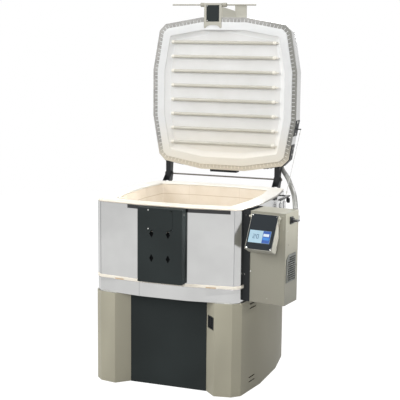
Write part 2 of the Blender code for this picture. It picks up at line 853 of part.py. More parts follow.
# Controller on its tilting bracket, on the front of the box
def make_controller(frame):
    lean = math.radians(controller_tilt)
    down = Vector((0.0, -math.sin(lean), -math.cos(lean)))
    back = Vector((0.0, math.cos(lean), -math.sin(lean)))
    top = Vector((controller_left, controller_top_front, box_top - controller_drop))
    rear = box_setback - seat_gap - tilt_plate_thickness - running_gap
    pin = Vector((controller_left + controller_width / 2, rear - tilt_pin_setback, top.z - tilt_pin_drop))
    axis = new_object("controller_axis", None)
    axis.parent = frame
    axis.location = pin

    def side(b, c):
        # b down the face, c behind it, seen from the tilt axis
        place = top + down * b + back * c - pin
        return (place.y, place.z)

    half, length = controller_width / 2, controller_length
    start = controller_face + seat_gap
    # The case is as deep as its foot, cut off upright where it backs on the box and eased above the pin
    meet = (top.y + back.y * case_depth - rear) / -down.y
    ease = tilt_pin_setback - tilt_pin_drop * math.tan(math.radians(tilt_range))
    profile = [side(0.0, start), side(length, start), side(length, case_depth), side(meet, case_depth),
               (rear - pin.y, 0.0), (ease, side(0.0, start)[1])]
    housing = extruded("controller_housing", profile, "x", -half, half, "warm_grey_powder", axis)
    hollow = extruded("housing_cutter", [side(sheet, -overrun), side(length - sheet, -overrun),
                                         side(length - sheet, case_depth - sheet), side(meet, case_depth - sheet),
                                         (rear - pin.y - sheet, -tilt_arm_boss)],
                      "x", -half + sheet, half - sheet, "warm_grey_powder", axis)
    cut(housing, hollow)

    def slab(name, across, downward, behind, finish):
        corners = [(x, *side(b, c)) for c in behind for b in downward for x in across]
        faces = [[0, 1, 3, 2], [4, 5, 7, 6], [0, 1, 5, 4], [2, 3, 7, 6], [0, 2, 6, 4], [1, 3, 7, 5]]
        return mesh_object(name, corners, faces, finish, axis)

    face = slab("controller_face", (-half, half), (0.0, length), (0.0, controller_face), "black_powder")
    a0, b0 = -half + screen_left, screen_drop
    gap = running_gap
    pocket = slab("face_cutter", (a0 - gap, a0 + screen_width + gap), (b0 - gap, b0 + screen_height + gap),
                  (-sheet, screen_thickness), "black_powder")
    cut(face, pocket)
    slab("touch_screen", (a0, a0 + screen_width), (b0, b0 + screen_height),
         (0.0, screen_thickness - seat_gap), "screen_glass")
    return pin


def make_tilt_bracket(frame, pin):
    # A plate on the box with a pointed arm at each side of the case, each with its thumb screw
    left = controller_left - running_gap
    right = controller_left + controller_width + running_gap
    face = box_setback - seat_gap
    t = tilt_arm_thickness
    foot = face - tilt_plate_thickness / 2
    low = pin.z - tilt_plate_height
    plate = box("tilt_bracket", (left - t, face - tilt_plate_thickness, low),
                (right + tilt_flange_width, face, pin.z + tilt_arm_boss), "warm_grey_powder", frame)
    boss = arc((pin.y, pin.z), tilt_arm_boss, 90.0, 210.0, 6)
    profile = [(foot, low), (foot, pin.z + tilt_arm_boss)] + boss
    joined = []
    for x, side in ((left, -1), (right, 1)):
        joined.append(extruded("bracket_arm", profile, "x", min(x, x + side * t), max(x, x + side * t),
                               "warm_grey_powder", frame))
        joined.append(turned("bracket_knob", [(0.0, tilt_knob_radius), (tilt_knob_length, tilt_knob_radius)],
                             (x + side * t / 2, pin.y, pin.z), (side, 0, 0), "warm_grey_powder", frame, steps=12))
    join(plate, *joined)


# Lid, as it lies closed, under the hinge empty
def hinge_frame():
    pivot = new_object("lid_hinge_axis", None)
    pivot.location = (0.0, hinge_y, hinge_z)
    pivot.rotation_euler.x = -math.radians(lid_open_angle)
    return pivot


def lid_piece(pivot, item):
    # Moves a piece modelled where it lies closed into the hinge empty's frame
    item.parent = pivot
    item.data.transform(Matrix.Translation((0.0, -hinge_y, -hinge_z)))
    return item


def notched_ring():
    outer = bowed_square(lid_plan)
    inner = bowed_square(shrink_plan(lid_plan, ring_width))
    deep = bowed_square(shrink_plan(lid_plan, ring_width - ring_notch_depth))
    outside, inside = [], []
    for k in range(16):
        a, b = inner[k], inner[(k + 1) % 16]
        oa, ob = outer[k], outer[(k + 1) % 16]
        da, db = deep[k], deep[(k + 1) % 16]
        length = math.hypot(b[0] - a[0], b[1] - a[1])
        notches = max(1, round(length / ring_tab_pitch))
        outside.append(oa)
        inside.append(a)
        for n in range(notches):
            middle = (n + 0.5) / notches
            half = ring_notch_width / length / 2
            for share, low in ((middle - half, False), (middle - half, True), (middle + half, True),
                               (middle + half, False)):
                outside.append(between(oa, ob, share))
                inside.append(between(da, db, share) if low else between(a, b, share))
    return outside, inside


def make_lid_shell(pivot):
    outside, inside = notched_ring()
    keep = []
    for n, point in enumerate(outside):
        # Where a notch turns in, two outer points fall together: spread them by a hair along the edge
        before = outside[n - 1]
        if math.hypot(point[0] - before[0], point[1] - before[1]) < weld_gap:
            ahead = outside[(n + 1) % len(outside)]
            if math.hypot(ahead[0] - point[0], ahead[1] - point[1]) < weld_gap:
                ahead = outside[(n + 2) % len(outside)]
            point = toward(before, ahead, running_gap)
        keep.append(point)
    low = lid_plane
    high = low + ring_thickness
    rings = [at_height(keep, low), at_height(keep, high), at_height(inside, high), at_height(inside, low)]
    lid_piece(pivot, ring_stack("lid_ring", rings, "brushed_stainless"))

    wall_low = high + seat_gap
    outer = bowed_square(lid_plan)
    inner = bowed_square(shrink_plan(lid_plan, sheet))
    count = len(outer)
    rings = at_height(outer, wall_low) + at_height(inner, wall_low)
    rings += at_height(inner, lid_back - sheet) + at_height(outer, lid_back)
    points = rings + [(0.0, 0.0, lid_back - sheet + lid_crown), (0.0, 0.0, lid_back + lid_crown)]
    faces = []
    for i in range(count):
        j = (i + 1) % count
        for a, b in ((0, 1), (1, 2), (3, 0)):
            faces.append([a * count + i, a * count + j, b * count + j, b * count + i])
        faces.append([2 * count + i, 2 * count + j, 4 * count])
        faces.append([3 * count + i, 3 * count + j, 4 * count + 1])
    lid_piece(pivot, mesh_object("lid_casing", points, faces, "brushed_stainless"))
    return wall_low


def make_lid_lining(pivot, wall_low):
    # A raised border of fibre seats on the rim; the field behind it carries the tubes
    border_outer = bowed_square(shrink_plan(lid_plan, ring_width + running_gap))
    edge = bowed_square(shrink_plan(lid_plan, sheet + seat_gap))
    mouth = shrink_plan(lid_plan, ring_width + running_gap + border_width)
    throat = shrink_plan(mouth, border_bevel)
    low = rim_top + seat_gap
    recess = lid_plane + field_recess
    rings = [at_height(border_outer, low), at_height(border_outer, wall_low), at_height(edge, wall_low),
             at_height(edge, recess), at_height(bowed_square(throat), recess), at_height(bowed_square(mouth), low)]
    border = ring_stack("lid_border", rings, "ceramic_fibre")
    notch_half = handle_plate_width / 2 + notch_gap
    notch = box("border_cutter", (handle_center_x - notch_half, -handle_plate_front, low - overrun),
                (handle_center_x + notch_half, -handle_plate_back + notch_gap, lid_plane + running_gap),
                "ceramic_fibre")
    cut(border, lid_piece(pivot, notch))
    lid_piece(pivot, border)

    slab_plan = shrink_plan(lid_plan, sheet + seat_gap)
    field_low = recess + seat_gap
    lid_piece(pivot, prism("lid_field", bowed_square(slab_plan), field_low, lid_back - sheet - seat_gap,
                           "ceramic_fibre"))
    return field_low


def make_tubes(pivot, field_low):
    height = field_low - seat_gap - tube_radius
    reach = tube_half_length + tube_cap_length
    lug = tube_cap_lug
    glass, cap = tube_half_length, tube_cap_radius
    steps = [(-reach, tube_cap_end_radius), (-reach + lug, cap), (-glass, cap), (-glass, tube_radius),
             (glass, tube_radius), (glass, cap), (reach - lug, cap), (reach, tube_cap_end_radius)]
    for row in range(tube_count):
        y = -tube_row_shift - ((tube_count - 1) / 2 - row) * tube_pitch
        item = turned("quartz_tube_%d" % (row + 1), steps, (0.0, y, height), (1, 0, 0), "quartz", steps=14)
        lid_piece(pivot, item)


def make_hinges(pivot):
    centres = [("left", hinge_left_x), ("right", hinge_right_x)]
    bore = pin_radius + pin_bore_gap
    outer_skin = shrink_plan(lid_plan, -seat_gap)
    line = bowed_square(outer_skin)
    strap_low = lid_plane + strap_rise
    strap_high = strap_low + strap_height
    for side_name, x in centres:
        side = 1 if x > 0 else -1
        # Strap round the lid's rear corner
        if side > 0:
            corner = [line[1], line[2], line[3], line[4]]
        else:
            corner = [line[5], line[6], line[7], line[8]]
        if side > 0:
            path = [between(corner[1], corner[0], strap_side_share), corner[1], corner[2],
                    between(corner[2], corner[3], strap_rear_share)]
        else:
            path = [between(corner[1], corner[0], strap_rear_share), corner[1], corner[2],
                    between(corner[2], corner[3], strap_side_share)]
        arm = strip_panel("hinge_arm_" + side_name, path, plate_steel, strap_low, strap_high, "black_powder")
        # Arm from the strap back over the pin, with a tail that hangs between the ears when the lid is open
        start_y, end_y = lid_corner_near, hinge_y + arm_tail_reach
        middle = (strap_low + strap_high) / 2
        profile = [(start_y, middle - arm_root_half), (hinge_y, hinge_z - arm_tail_half),
                   (end_y, hinge_z - arm_tail_end_half), (end_y, hinge_z + arm_tail_end_half),
                   (hinge_y, hinge_z + arm_tail_half), (start_y, middle + arm_root_half)]
        lever = extruded("arm_lever", profile, "x", x - arm_width / 2, x + arm_width / 2, "black_powder")
        shell = prism("arm_cutter", bowed_square(shrink_plan(lid_plan, -seat_gap / 2)), lid_plane - overrun,
                      lid_back + overrun, "black_powder")
        cut(lever, lid_piece(pivot, shell))
        hole = turned("arm_cutter", [(0.0, bore), (arm_width + overrun * 2, bore)],
                      (x - arm_width / 2 - overrun, hinge_y, hinge_z), (1, 0, 0), "black_powder", steps=16)
        join(arm, lid_piece(pivot, lever))
        cut(arm, lid_piece(pivot, hole))
        lid_piece(pivot, arm)

        # Bracket on the body: a plate on the rear jacket and two ears
        skin = bowed_square(shrink_plan(body_plan, -seat_gap))
        back = [skin[3], skin[4]] if side > 0 else [skin[5], skin[6]]

        def on_back(px):
            a, b = back
            return (px, a[1] + (b[1] - a[1]) * (px - a[0]) / (b[0] - a[0]))
        first, last = on_back(x + bracket_plate_half), on_back(x - bracket_plate_half)
        plate_high = rim_bottom - seat_gap
        ear_low = hinge_z - ear_drop
        plate = strip_panel("hinge_bracket_" + side_name, [first, last], plate_steel, ear_low, plate_high,
                            "black_powder")
        ears = []
        for ear_side in (-1, 1):
            inner = x + ear_side * (arm_width / 2 + arm_gap)
            outer = inner + ear_side * ear_thickness
            base_y = max(on_back(inner)[1], on_back(outer)[1]) + plate_steel / 2
            clear_y = base_y + ear_step
            boss = arc((hinge_y, hinge_z), ear_boss_radius, -30.0, 180.0, 10)
            profile = [(base_y, ear_low), (base_y + ear_step, ear_low)] + boss
            profile += [(clear_y + ear_step, plate_high + ear_step), (clear_y, plate_high), (base_y, plate_high)]
            near_x, far_x = sorted((inner, outer))
            ears.append(extruded("bracket_ear", profile, "x", near_x, far_x, "black_powder"))
        hole = turned("bracket_cutter", [(0.0, bore), (arm_width * 2 + overrun * 2, bore)],
                      (x - arm_width - overrun, hinge_y, hinge_z), (1, 0, 0), "black_powder", steps=16)
        join(plate, *ears)
        cut(plate, hole)

    reach = arm_width / 2 + arm_gap + ear_thickness + running_gap
    left, right = hinge_left_x - reach - pin_head_length, hinge_right_x + reach + pin_head_length
    length = right - left
    steps = [(0.0, pin_head_radius), (pin_head_length, pin_head_radius), (pin_head_length, pin_radius),
             (length - pin_head_length, pin_radius), (length - pin_head_length, pin_head_radius),
             (length, pin_head_radius)]
    turned("hinge_rod", steps, (left, hinge_y, hinge_z), (1, 0, 0), "zinc_steel", steps=14)


def make_handle(pivot):
    xc = handle_center_x
    left, right = xc - handle_plate_width / 2, xc + handle_plate_width / 2
    t = handle_sheet
    low = rim_top + handle_drop
    high = low + handle_top_rise
    lid_front = -lid_half_width - seat_gap
    # One folded sheet seen end-on: left wall, bottom, slanted web, top flange
    web_end = right + handle_web_run
    mount_front = lid_front - handle_mount_reach
    line = [(left, high), (left, low), (right, low), (web_end, high - t), (handle_mount_right, high - t)]
    inner = [(left + t, high), (left + t, low + t), (right - t / 2, low + t), (web_end - t / 2, high),
             (handle_mount_right, high)]
    bracket = extruded("handle_bracket", line + inner[::-1], "y", mount_front, lid_front, "warm_grey_powder")
    # The web's front edge slants back
    slant_end = web_end + plate_steel
    slant = [(right + sheet, mount_front - overrun), (slant_end, mount_front - overrun),
             (slant_end, lid_front - handle_slant_near), (right + sheet, lid_front - handle_slant_far)]
    slanted = prism("handle_cutter", slant, low - overrun, high - t - seat_gap, "warm_grey_powder")
    tongue = box("handle_tongue", (left, -handle_plate_front, low), (right, -handle_plate_back, low + t),
                 "warm_grey_powder")
    arch_half = handle_arch_width / 2
    arch = arc((xc, -handle_plate_back + running_gap), arch_half, 180.0, 360.0, 12)
    flat = handle_arch_rise / arch_half
    arch = [(px, -handle_plate_back + (py + handle_plate_back) * flat) for px, py in arch]
    arch = arch + [(xc + arch_half, -handle_plate_back + overrun), (xc - arch_half, -handle_plate_back + overrun)]
    arch_tool = prism("handle_cutter", arch, low - overrun, low + t + seat_gap, "warm_grey_powder")
    bar_z = low + handle_bar_rise
    ear_top = bar_z + handle_bar_radius + handle_ear_margin
    lugs = []
    for x in (left, right - t):
        lugs.append(box("handle_lug", (x, -handle_plate_front, low),
                        (x + t, lid_front - handle_slant_near, ear_top), "warm_grey_powder"))
    hole = turned("handle_cutter", [(0.0, handle_bar_radius + running_gap),
                                    (handle_plate_width + overrun * 2, handle_bar_radius + running_gap)],
                  (left - overrun, -handle_bar_front, bar_z), (1, 0, 0), "warm_grey_powder", steps=14)
    for item in [slanted, tongue, arch_tool, hole] + lugs:
        lid_piece(pivot, item)
    cut(bracket, slanted)
    join(bracket, tongue, *lugs)
    cut(bracket, arch_tool, hole)
    lid_piece(pivot, bracket)

    plate_front = -handle_plate_front + handle_label_front_drop
    half = handle_label_width / 2
    lid_piece(pivot, box("handle_plate", (xc - half, plate_front, low - seat_gap - label_sheet),
                         (xc + half, plate_front + handle_label_length, low - seat_gap), "black_powder"))

    start = xc - handle_bar_length / 2
    near = handle_bar_length / 2 - handle_plate_width / 2 - running_gap
    far = handle_bar_length / 2 + handle_plate_width / 2 + running_gap
    r, c = handle_bar_radius, handle_collar_radius
    edge = handle_collar_edge
    outer_near, outer_far = near - handle_collar_length, far + handle_collar_length
    steps = [(0.0, r - t), (t, r), (outer_near, r), (outer_near, c - edge), (outer_near + edge, c), (near, c),
             (near, r), (far, r), (far, c), (outer_far - edge, c), (outer_far, c - edge), (outer_far, r),
             (handle_bar_length - t, r), (handle_bar_length, r - t)]
    bar = turned("handle_bar", steps, (start, -handle_bar_front, bar_z), (1, 0, 0), "zinc_steel", steps=14)
    lid_piece(pivot, bar)


def make_wiring_cover(pivot):
    near = lid_half_width + seat_gap
    middle = lid_plane + lid_depth / 2
    low, high = middle - wiring_height / 2, middle + wiring_height / 2
    lid_piece(pivot, box("lid_wiring_cover", (-wiring_half_width, near, low),
                         (wiring_half_width, near + wiring_depth, high), "black_powder"))


# Stay: plate and pin on the lid, cable, yoke with its star knob and two springs on the body
def side_point(plan, y):
    half, flat, far, near = plan
    return half - (half - far) * max(0.0, abs(y) - flat) / (near - flat)


def make_stay(pivot):
    skin = shrink_plan(lid_plan, -seat_gap)
    start = skin[1] + stay_plate_start
    middle = lid_plane + lid_depth / 2
    ends = [(side_point(skin, y), y) for y in (start, start + stay_plate_length)]
    plate = strip_panel("stay_bracket", ends, stay_plate_thickness, middle - stay_plate_height / 2,
                        middle + stay_plate_height / 2, "black_powder")
    pin_y = start + stay_plate_length / 2 + stay_pin_back
    pin_z = lid_plane + stay_pin_rise
    pin_x = side_point(skin, pin_y) + stay_plate_thickness / 2
    pin = turned("stay_pin", [(0.0, stay_pin_radius), (stay_pin_length, stay_pin_radius)],
                 (pin_x, pin_y, pin_z), (1, 0, 0), "black_powder", steps=12)
    join(plate, lid_piece(pivot, pin))
    lid_piece(pivot, plate)

    # The pin's place with the lid open
    angle = -math.radians(lid_open_angle)
    dy, dz = pin_y - hinge_y, pin_z - hinge_z
    open_y = hinge_y + dy * math.cos(angle) - dz * math.sin(angle)
    open_z = hinge_z + dy * math.sin(angle) + dz * math.cos(angle)
    cable_x = pin_x + stay_pin_length - stay_cable_inset
    upper = Vector((cable_x, open_y, open_z - stay_pin_radius - stay_cable_radius))
    lower = Vector((cable_x, cable_end_y, spring_top_z + seat_gap + yoke_thickness + stay_cable_radius))
    count = 14
    points = [upper.lerp(lower, i / (count - 1)) for i in range(count)]
    tube("stay_cable", points, [1.0] * count, stay_cable_radius, 2, "zinc_steel")
    return cable_x


def make_springs(cable_x):
    body_x = side_point(shrink_plan(body_plan, -seat_gap), spring_front_y)
    rear_x = side_point(shrink_plan(body_plan, -seat_gap), star_y - yoke_thickness)
    spring_x = body_x + spring_stand_off
    top = spring_top_z
    length = spring_curls * spring_pitch
    bottom = top - spring_leg * 2 - length
    least = min(spring_pitch, spring_radius * 2) - spring_wire * 2
    print("spring gap between curls %.2f mm" % (least * 1000.0))
    for name, y in (("spring_front", spring_front_y), ("spring_rear", spring_rear_y)):
        points = [Vector((spring_x, y, top)), Vector((spring_x, y, top - spring_leg_plain))]
        per_curl = 8
        for n in range(spring_curls * per_curl + 1):
            turn = n / per_curl
            angle = math.tau * turn
            ease = min(1.0, turn, spring_curls - turn)
            radius = spring_radius * ease
            points.append(Vector((spring_x + radius * math.cos(angle), y + radius * math.sin(angle),
                                  top - spring_leg - turn * spring_pitch)))
        points += [Vector((spring_x, y, bottom + spring_leg_plain)), Vector((spring_x, y, bottom))]
        tube(name, points, [1.0] * len(points), spring_wire, 1, "spring_steel")

    # Yoke over both springs, with a star knob under its rear end, where it is tied to the jacket
    front = spring_front_y - yoke_overhang
    rear = star_y + yoke_overhang
    inner = spring_x - yoke_width / 2
    base = top + seat_gap
    yoke = box("spring_yoke", (inner, front, base), (spring_x + yoke_width / 2, rear, base + yoke_thickness),
               "black_powder")
    outline = []
    for n in range(star_points * 2):
        radius = star_radius if n % 2 == 0 else star_radius * star_waist_share
        angle = math.tau * n / (star_points * 2)
        outline.append((star_y + radius * math.cos(angle), star_z + radius * math.sin(angle)))
    star_left = cable_x - star_length / 2
    star = extruded("knob_star", outline, "x", star_left, star_left + star_length, "black_plastic")
    post = box("knob_post", (inner, star_y - yoke_thickness, star_z - yoke_thickness),
               (star_left + star_length / 2, star_y + yoke_thickness, base + yoke_thickness / 2), "black_powder")
    tie = box("yoke_tie", (rear_x, star_y - yoke_thickness, base),
              (spring_x, star_y + yoke_thickness, base + yoke_thickness), "black_powder")
    join(yoke, post, star, tie)

    # Lower anchor for both springs, fixed to the jacket
    low = bottom - seat_gap
    anchor_front = spring_front_y - yoke_overhang
    anchor_rear = spring_rear_y + yoke_overhang
    wall_x = side_point(shrink_plan(body_plan, -seat_gap), anchor_front)
    box("spring_anchor", (wall_x, anchor_front, low - yoke_thickness),
        (spring_x + yoke_width / 2, anchor_rear, low), "black_powder")


def conduit_route(frame):
    # Head under the lid's elbow, foot behind the control box, and a slack curve between them
    head = Vector(conduit_head)
    foot = frame.matrix_basis @ Vector((box_stand_off + box_width - fitting_from_side,
                                        box_setback + box_depth + fitting_stand_off, box_top - fitting_drop))
    points = [head, Vector((head.x, head.y, head.z - conduit_head_run))]
    for share_x, share_y, rise in conduit_shares:
        points.append(Vector((head.x + (foot.x - head.x) * share_x, head.y + (foot.y - head.y) * share_y,
                              box_top + rise)))
    points.append(Vector((foot.x, foot.y, foot.z + conduit_foot_run)))
    points.append(foot)
    return points


def make_conduit(frame):
    route = conduit_route(frame)
    samples, length = smooth_route(route, conduit_ribs * 2)
    radii = []
    for n in range(len(samples)):
        plain = n < conduit_plain_samples or n >= len(samples) - conduit_plain_samples
        radii.append(1.0 if plain or n % 2 == 0 else 1.0 - conduit_rib / conduit_radius)
    hose = tube("conduit", samples, radii, conduit_radius, 2, "zinc_steel")
    bends, _ = smooth_route(route, conduit_bends)
    first = bends[0] + (bends[0] - bends[1]).normalized() * plate_steel
    last = bends[-1] + (bends[-1] - bends[-2]).normalized() * plate_steel
    bore = tube("conduit_cutter", [first] + bends[1:-1] + [last], [1.0] * conduit_bends, conduit_bore, 2,
                "zinc_steel")
    hose = as_mesh(hose, "zinc_steel")
    bore = as_mesh(bore, "zinc_steel")
    cut(hose, bore)
    print("conduit length %.3f m" % length)


def make_conduit_fitting(frame):
    # A block elbow on the box's rear wall, a nut round its mouth; the conduit drops into it from above
    centre_x = box_stand_off + box_width - fitting_from_side
    wall = box_setback + box_depth + seat_gap
    centre_y = wall - seat_gap + fitting_stand_off
    top = box_top - fitting_drop - seat_gap
    low = top - fitting_length
    far = centre_y + elbow_half
    profile = [(wall, low), (centre_y, low), (far, low + elbow_half), (far, top - fitting_nut_length),
               (wall, top - fitting_nut_length)]
    block = extruded("conduit_fitting_box", profile, "x", centre_x - elbow_half, centre_x + elbow_half,
                     "zinc_steel", frame)
    nut = turned("fitting_nut", [(0.0, fitting_nut_radius), (fitting_nut_length + sheet, fitting_nut_radius)],
                 (centre_x, centre_y, top - fitting_nut_length - sheet), (0, 0, 1), "zinc_steel", frame, steps=12)
    join(block, nut)


def make_conduit_elbow(pivot):
    # A block elbow on the lid's back sheet, its mouth over the conduit's first point
    head_x, head_y, head_z = conduit_head
    closed_z = hinge_z + (head_y - hinge_y)
    mouth_y = hinge_y - (head_z - hinge_z) - seat_gap
    near_edge = mouth_y - elbow_length
    profile = [(near_edge, elbow_seat), (mouth_y, elbow_seat), (mouth_y, closed_z + elbow_half),
               (near_edge + elbow_half, closed_z + elbow_half), (near_edge, closed_z)]
    item = extruded("conduit_elbow", profile, "x", head_x - elbow_half, head_x + elbow_half, "zinc_steel")
    lid_piece(pivot, item)


def make_probe():
    # Thermocouple: a ceramic sheath through the front wall, its head under the front cover
    bore = probe_radius + running_gap
    skin = -body_half_width + sheet + seat_gap
    probe_z = slab_top + probe_rise
    tool = turned("probe_cutter", [(0.0, bore), (probe_length + overrun, bore)],
                  (0.0, skin - overrun, probe_z), (0, 1, 0), "porcelain", steps=12)
    cut(bpy.data.objects["brick_wall"], tool)
    steps = [(0.0, probe_head_radius), (probe_head_length, probe_head_radius), (probe_head_length, probe_radius),
             (probe_head_length + probe_length, probe_radius)]
    turned("thermocouple", steps, (0.0, skin - seat_gap - probe_head_length, probe_z), (0, 1, 0), "porcelain",
           steps=14)


def centre_over_origin():
    bpy.context.view_layer.update()
    graph = bpy.context.evaluated_depsgraph_get()
    places = []
    for item in bpy.data.objects:
        if item.type in ("MESH", "CURVE") and not item.hide_render:
            solid = item.evaluated_get(graph)
            places += [item.matrix_world @ point.co for point in solid.to_mesh().vertices]
            solid.to_mesh_clear()
    shift = [-(min(p[k] for p in places) + max(p[k] for p in places)) / 2 for k in (0, 1)]
    print("moved by %.5f, %.5f m" % tuple(shift))
    for item in bpy.data.objects:
        if item.parent is None:
            item.location.x += shift[0]
            item.location.y += shift[1]


def build():
    clear_scene()
    make_base()
    make_floor()
    make_body()
    make_front_cover()
    frame = box_frame()
    face = make_control_box(frame)
    make_switch(frame, face)
    pin = make_controller(frame)
    make_tilt_bracket(frame, pin)
    pivot = hinge_frame()
    wall_low = make_lid_shell(pivot)
    field_low = make_lid_lining(pivot, wall_low)
    make_tubes(pivot, field_low)
    make_hinges(pivot)
    make_handle(pivot)
    make_wiring_cover(pivot)
    cable_x = make_stay(pivot)
    make_springs(cable_x)
    make_conduit(frame)
    make_conduit_fitting(frame)
    make_conduit_elbow(pivot)
    make_probe()
    centre_over_origin()


build()
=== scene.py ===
import json
import math

import bmesh
import bpy
from mathutils import Matrix, Vector
from mathutils.bvhtree import BVHTree

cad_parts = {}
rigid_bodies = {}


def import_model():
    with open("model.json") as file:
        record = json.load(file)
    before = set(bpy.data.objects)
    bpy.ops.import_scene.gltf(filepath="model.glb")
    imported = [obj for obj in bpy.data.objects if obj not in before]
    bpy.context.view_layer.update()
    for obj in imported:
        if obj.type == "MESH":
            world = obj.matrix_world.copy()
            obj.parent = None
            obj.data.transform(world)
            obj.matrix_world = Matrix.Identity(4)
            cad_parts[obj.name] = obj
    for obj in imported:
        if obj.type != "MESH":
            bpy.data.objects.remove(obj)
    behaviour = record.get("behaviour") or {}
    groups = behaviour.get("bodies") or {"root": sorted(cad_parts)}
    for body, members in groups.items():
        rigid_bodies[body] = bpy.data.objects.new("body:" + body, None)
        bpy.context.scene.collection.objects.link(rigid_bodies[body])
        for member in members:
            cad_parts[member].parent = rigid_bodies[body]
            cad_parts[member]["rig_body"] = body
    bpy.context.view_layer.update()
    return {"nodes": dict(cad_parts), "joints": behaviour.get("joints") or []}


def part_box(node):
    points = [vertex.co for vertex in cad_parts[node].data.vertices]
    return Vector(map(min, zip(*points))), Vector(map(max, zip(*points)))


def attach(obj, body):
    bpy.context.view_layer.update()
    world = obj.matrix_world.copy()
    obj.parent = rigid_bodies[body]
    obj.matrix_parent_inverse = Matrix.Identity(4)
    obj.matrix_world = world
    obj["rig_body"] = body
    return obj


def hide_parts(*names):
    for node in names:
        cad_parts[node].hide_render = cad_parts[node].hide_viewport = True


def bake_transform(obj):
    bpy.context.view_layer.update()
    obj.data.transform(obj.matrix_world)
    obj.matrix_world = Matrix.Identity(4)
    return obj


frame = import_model()
nodes = frame["nodes"]
print("frame loaded:", len(nodes), "nodes")

# The upright through the middle of the chamber
slabLow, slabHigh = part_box("floor_slab")
kilnX, kilnY, _ = (slabLow + slabHigh) / 2


def inKiln(x, y, z):
    return Vector((kilnX + x, kilnY + y, z))


def placed(name, data):
    item = bpy.data.objects.new(name, data)
    bpy.context.scene.collection.objects.link(item)
    return item


# Camera: fitted to the photograph, in the kiln's own frame
cameraSetup = dict(place=(1.8623, -4.8277, 1.6826), yaw=0.3626, pitch=0.1574, roll=0.0099, lens=94.45, sensor=36.0)


def makeCamera():
    data = bpy.data.cameras.new("camera")
    data.lens = cameraSetup["lens"]
    data.sensor_width = cameraSetup["sensor"]
    camera = placed("camera", data)
    turns = ((cameraSetup["yaw"], "Z"), (math.pi / 2 - cameraSetup["pitch"], "X"), (cameraSetup["roll"], "Z"))
    camera.matrix_world = Matrix.Translation(inKiln(*cameraSetup["place"]))
    for angle, axis in turns:
        camera.matrix_world @= Matrix.Rotation(angle, 4, axis)
    bpy.context.scene.camera = camera


makeCamera()
bpy.context.scene.view_settings.view_transform = "Standard"


# Colours are written as sRGB hex
def linear(hexColour):
    values = []
    for start in (1, 3, 5):
        share = int(hexColour[start:start + 2], 16) / 255
        values.append(share / 12.92 if share <= 0.04045 else ((share + 0.055) / 1.055) ** 2.4)
    return (*values, 1.0)


def addNode(tree, kind, inputs=None, **settings):
    node = tree.nodes.new(kind)
    for name, value in settings.items():
        setattr(node, name, value)
    for name, value in (inputs or {}).items():
        if isinstance(value, bpy.types.NodeSocket):
            tree.links.new(value, node.inputs[name])
        else:
            node.inputs[name].default_value = value
    return node


def calculate(tree, operation, *values):
    return addNode(tree, "ShaderNodeMath", dict(enumerate(values)), operation=operation).outputs[0]


def alongAxes(tree, vector):
    return addNode(tree, "ShaderNodeSeparateXYZ", {"Vector": vector}).outputs


def newMaterial(name, **sockets):
    made = bpy.data.materials.new(name)
    made.use_nodes = True
    shader = made.node_tree.nodes["Principled BSDF"]
    for key, value in sockets.items():
        shader.inputs[key.replace("_", " ")].default_value = value
    return made, made.node_tree, shader


def grainSpace(tree, scale=(1.0, 1.0, 1.0)):
    # Object coordinates in metres, stretched for grain that runs one way
    place = addNode(tree, "ShaderNodeTexCoord").outputs["Object"]
    return addNode(tree, "ShaderNodeMapping", {"Vector": place, "Scale": scale}).outputs["Vector"]


def perMetre(millimetres):
    return 1000.0 / millimetres


def blendColours(tree, amount, first, second):
    # A mix node takes colours at its sockets 6 and 7 and gives one at its third
    return addNode(tree, "ShaderNodeMix", {0: amount, 6: first, 7: second}, data_type="RGBA").outputs[2]


def spread(tree, value, low, high, fromLow=0.0, fromHigh=1.0):
    ramp = addNode(tree, "ShaderNodeMapRange", {"Value": value, "From Min": fromLow, "From Max": fromHigh,
                                                "To Min": low, "To Max": high})
    return ramp.outputs["Result"]


def twoTones(tree, pattern, colour, shade, fromLow=0.3, fromHigh=0.7):
    return blendColours(tree, spread(tree, pattern, 0.0, 1.0, fromLow, fromHigh), linear(colour), linear(shade))


# Sizes and depths of patterns are in millimetres
def noise(tree, vector, size, detail=3.0, roughness=0.5):
    made = addNode(tree, "ShaderNodeTexNoise", {"Vector": vector, "Scale": perMetre(size), "Detail": detail,
                                                "Roughness": roughness})
    return made.outputs["Fac"]


def cells(tree, vector, size):
    return addNode(tree, "ShaderNodeTexVoronoi", {"Vector": vector, "Scale": perMetre(size)}).outputs["Distance"]


def bumped(tree, shader, height, strength, depth):
    bump = addNode(tree, "ShaderNodeBump", {"Height": height, "Strength": strength, "Distance": depth / 1000.0})
    tree.links.new(bump.outputs["Normal"], shader.inputs["Normal"])


def colourBy(tree, shader, tone, socket="Base Color"):
    tree.links.new(tone, shader.inputs[socket])


# 304 stainless sheet with a fine upright brush, rolled smooth: it mirrors what is round it, a little soft
def brushedStainless(name="brushedStainless304", colour="#C5C5C4", shade="#BEBEBD", roughness=0.18):
    made, tree, shader = newMaterial(name, Metallic=1.0, Roughness=roughness)
    # The brush is drawn 2 mm apart, coarser than the real 0.2 mm, so that it shows
    brush = noise(tree, grainSpace(tree, (1.0, 1.0, 0.02)), size=2.0, detail=2.0)
    cloud = noise(tree, grainSpace(tree), size=160.0, detail=2.0)
    colourBy(tree, shader, twoTones(tree, cloud, colour, shade, 0.35, 0.65))
    bumped(tree, shader, brush, strength=0.06, depth=0.05)
    return made


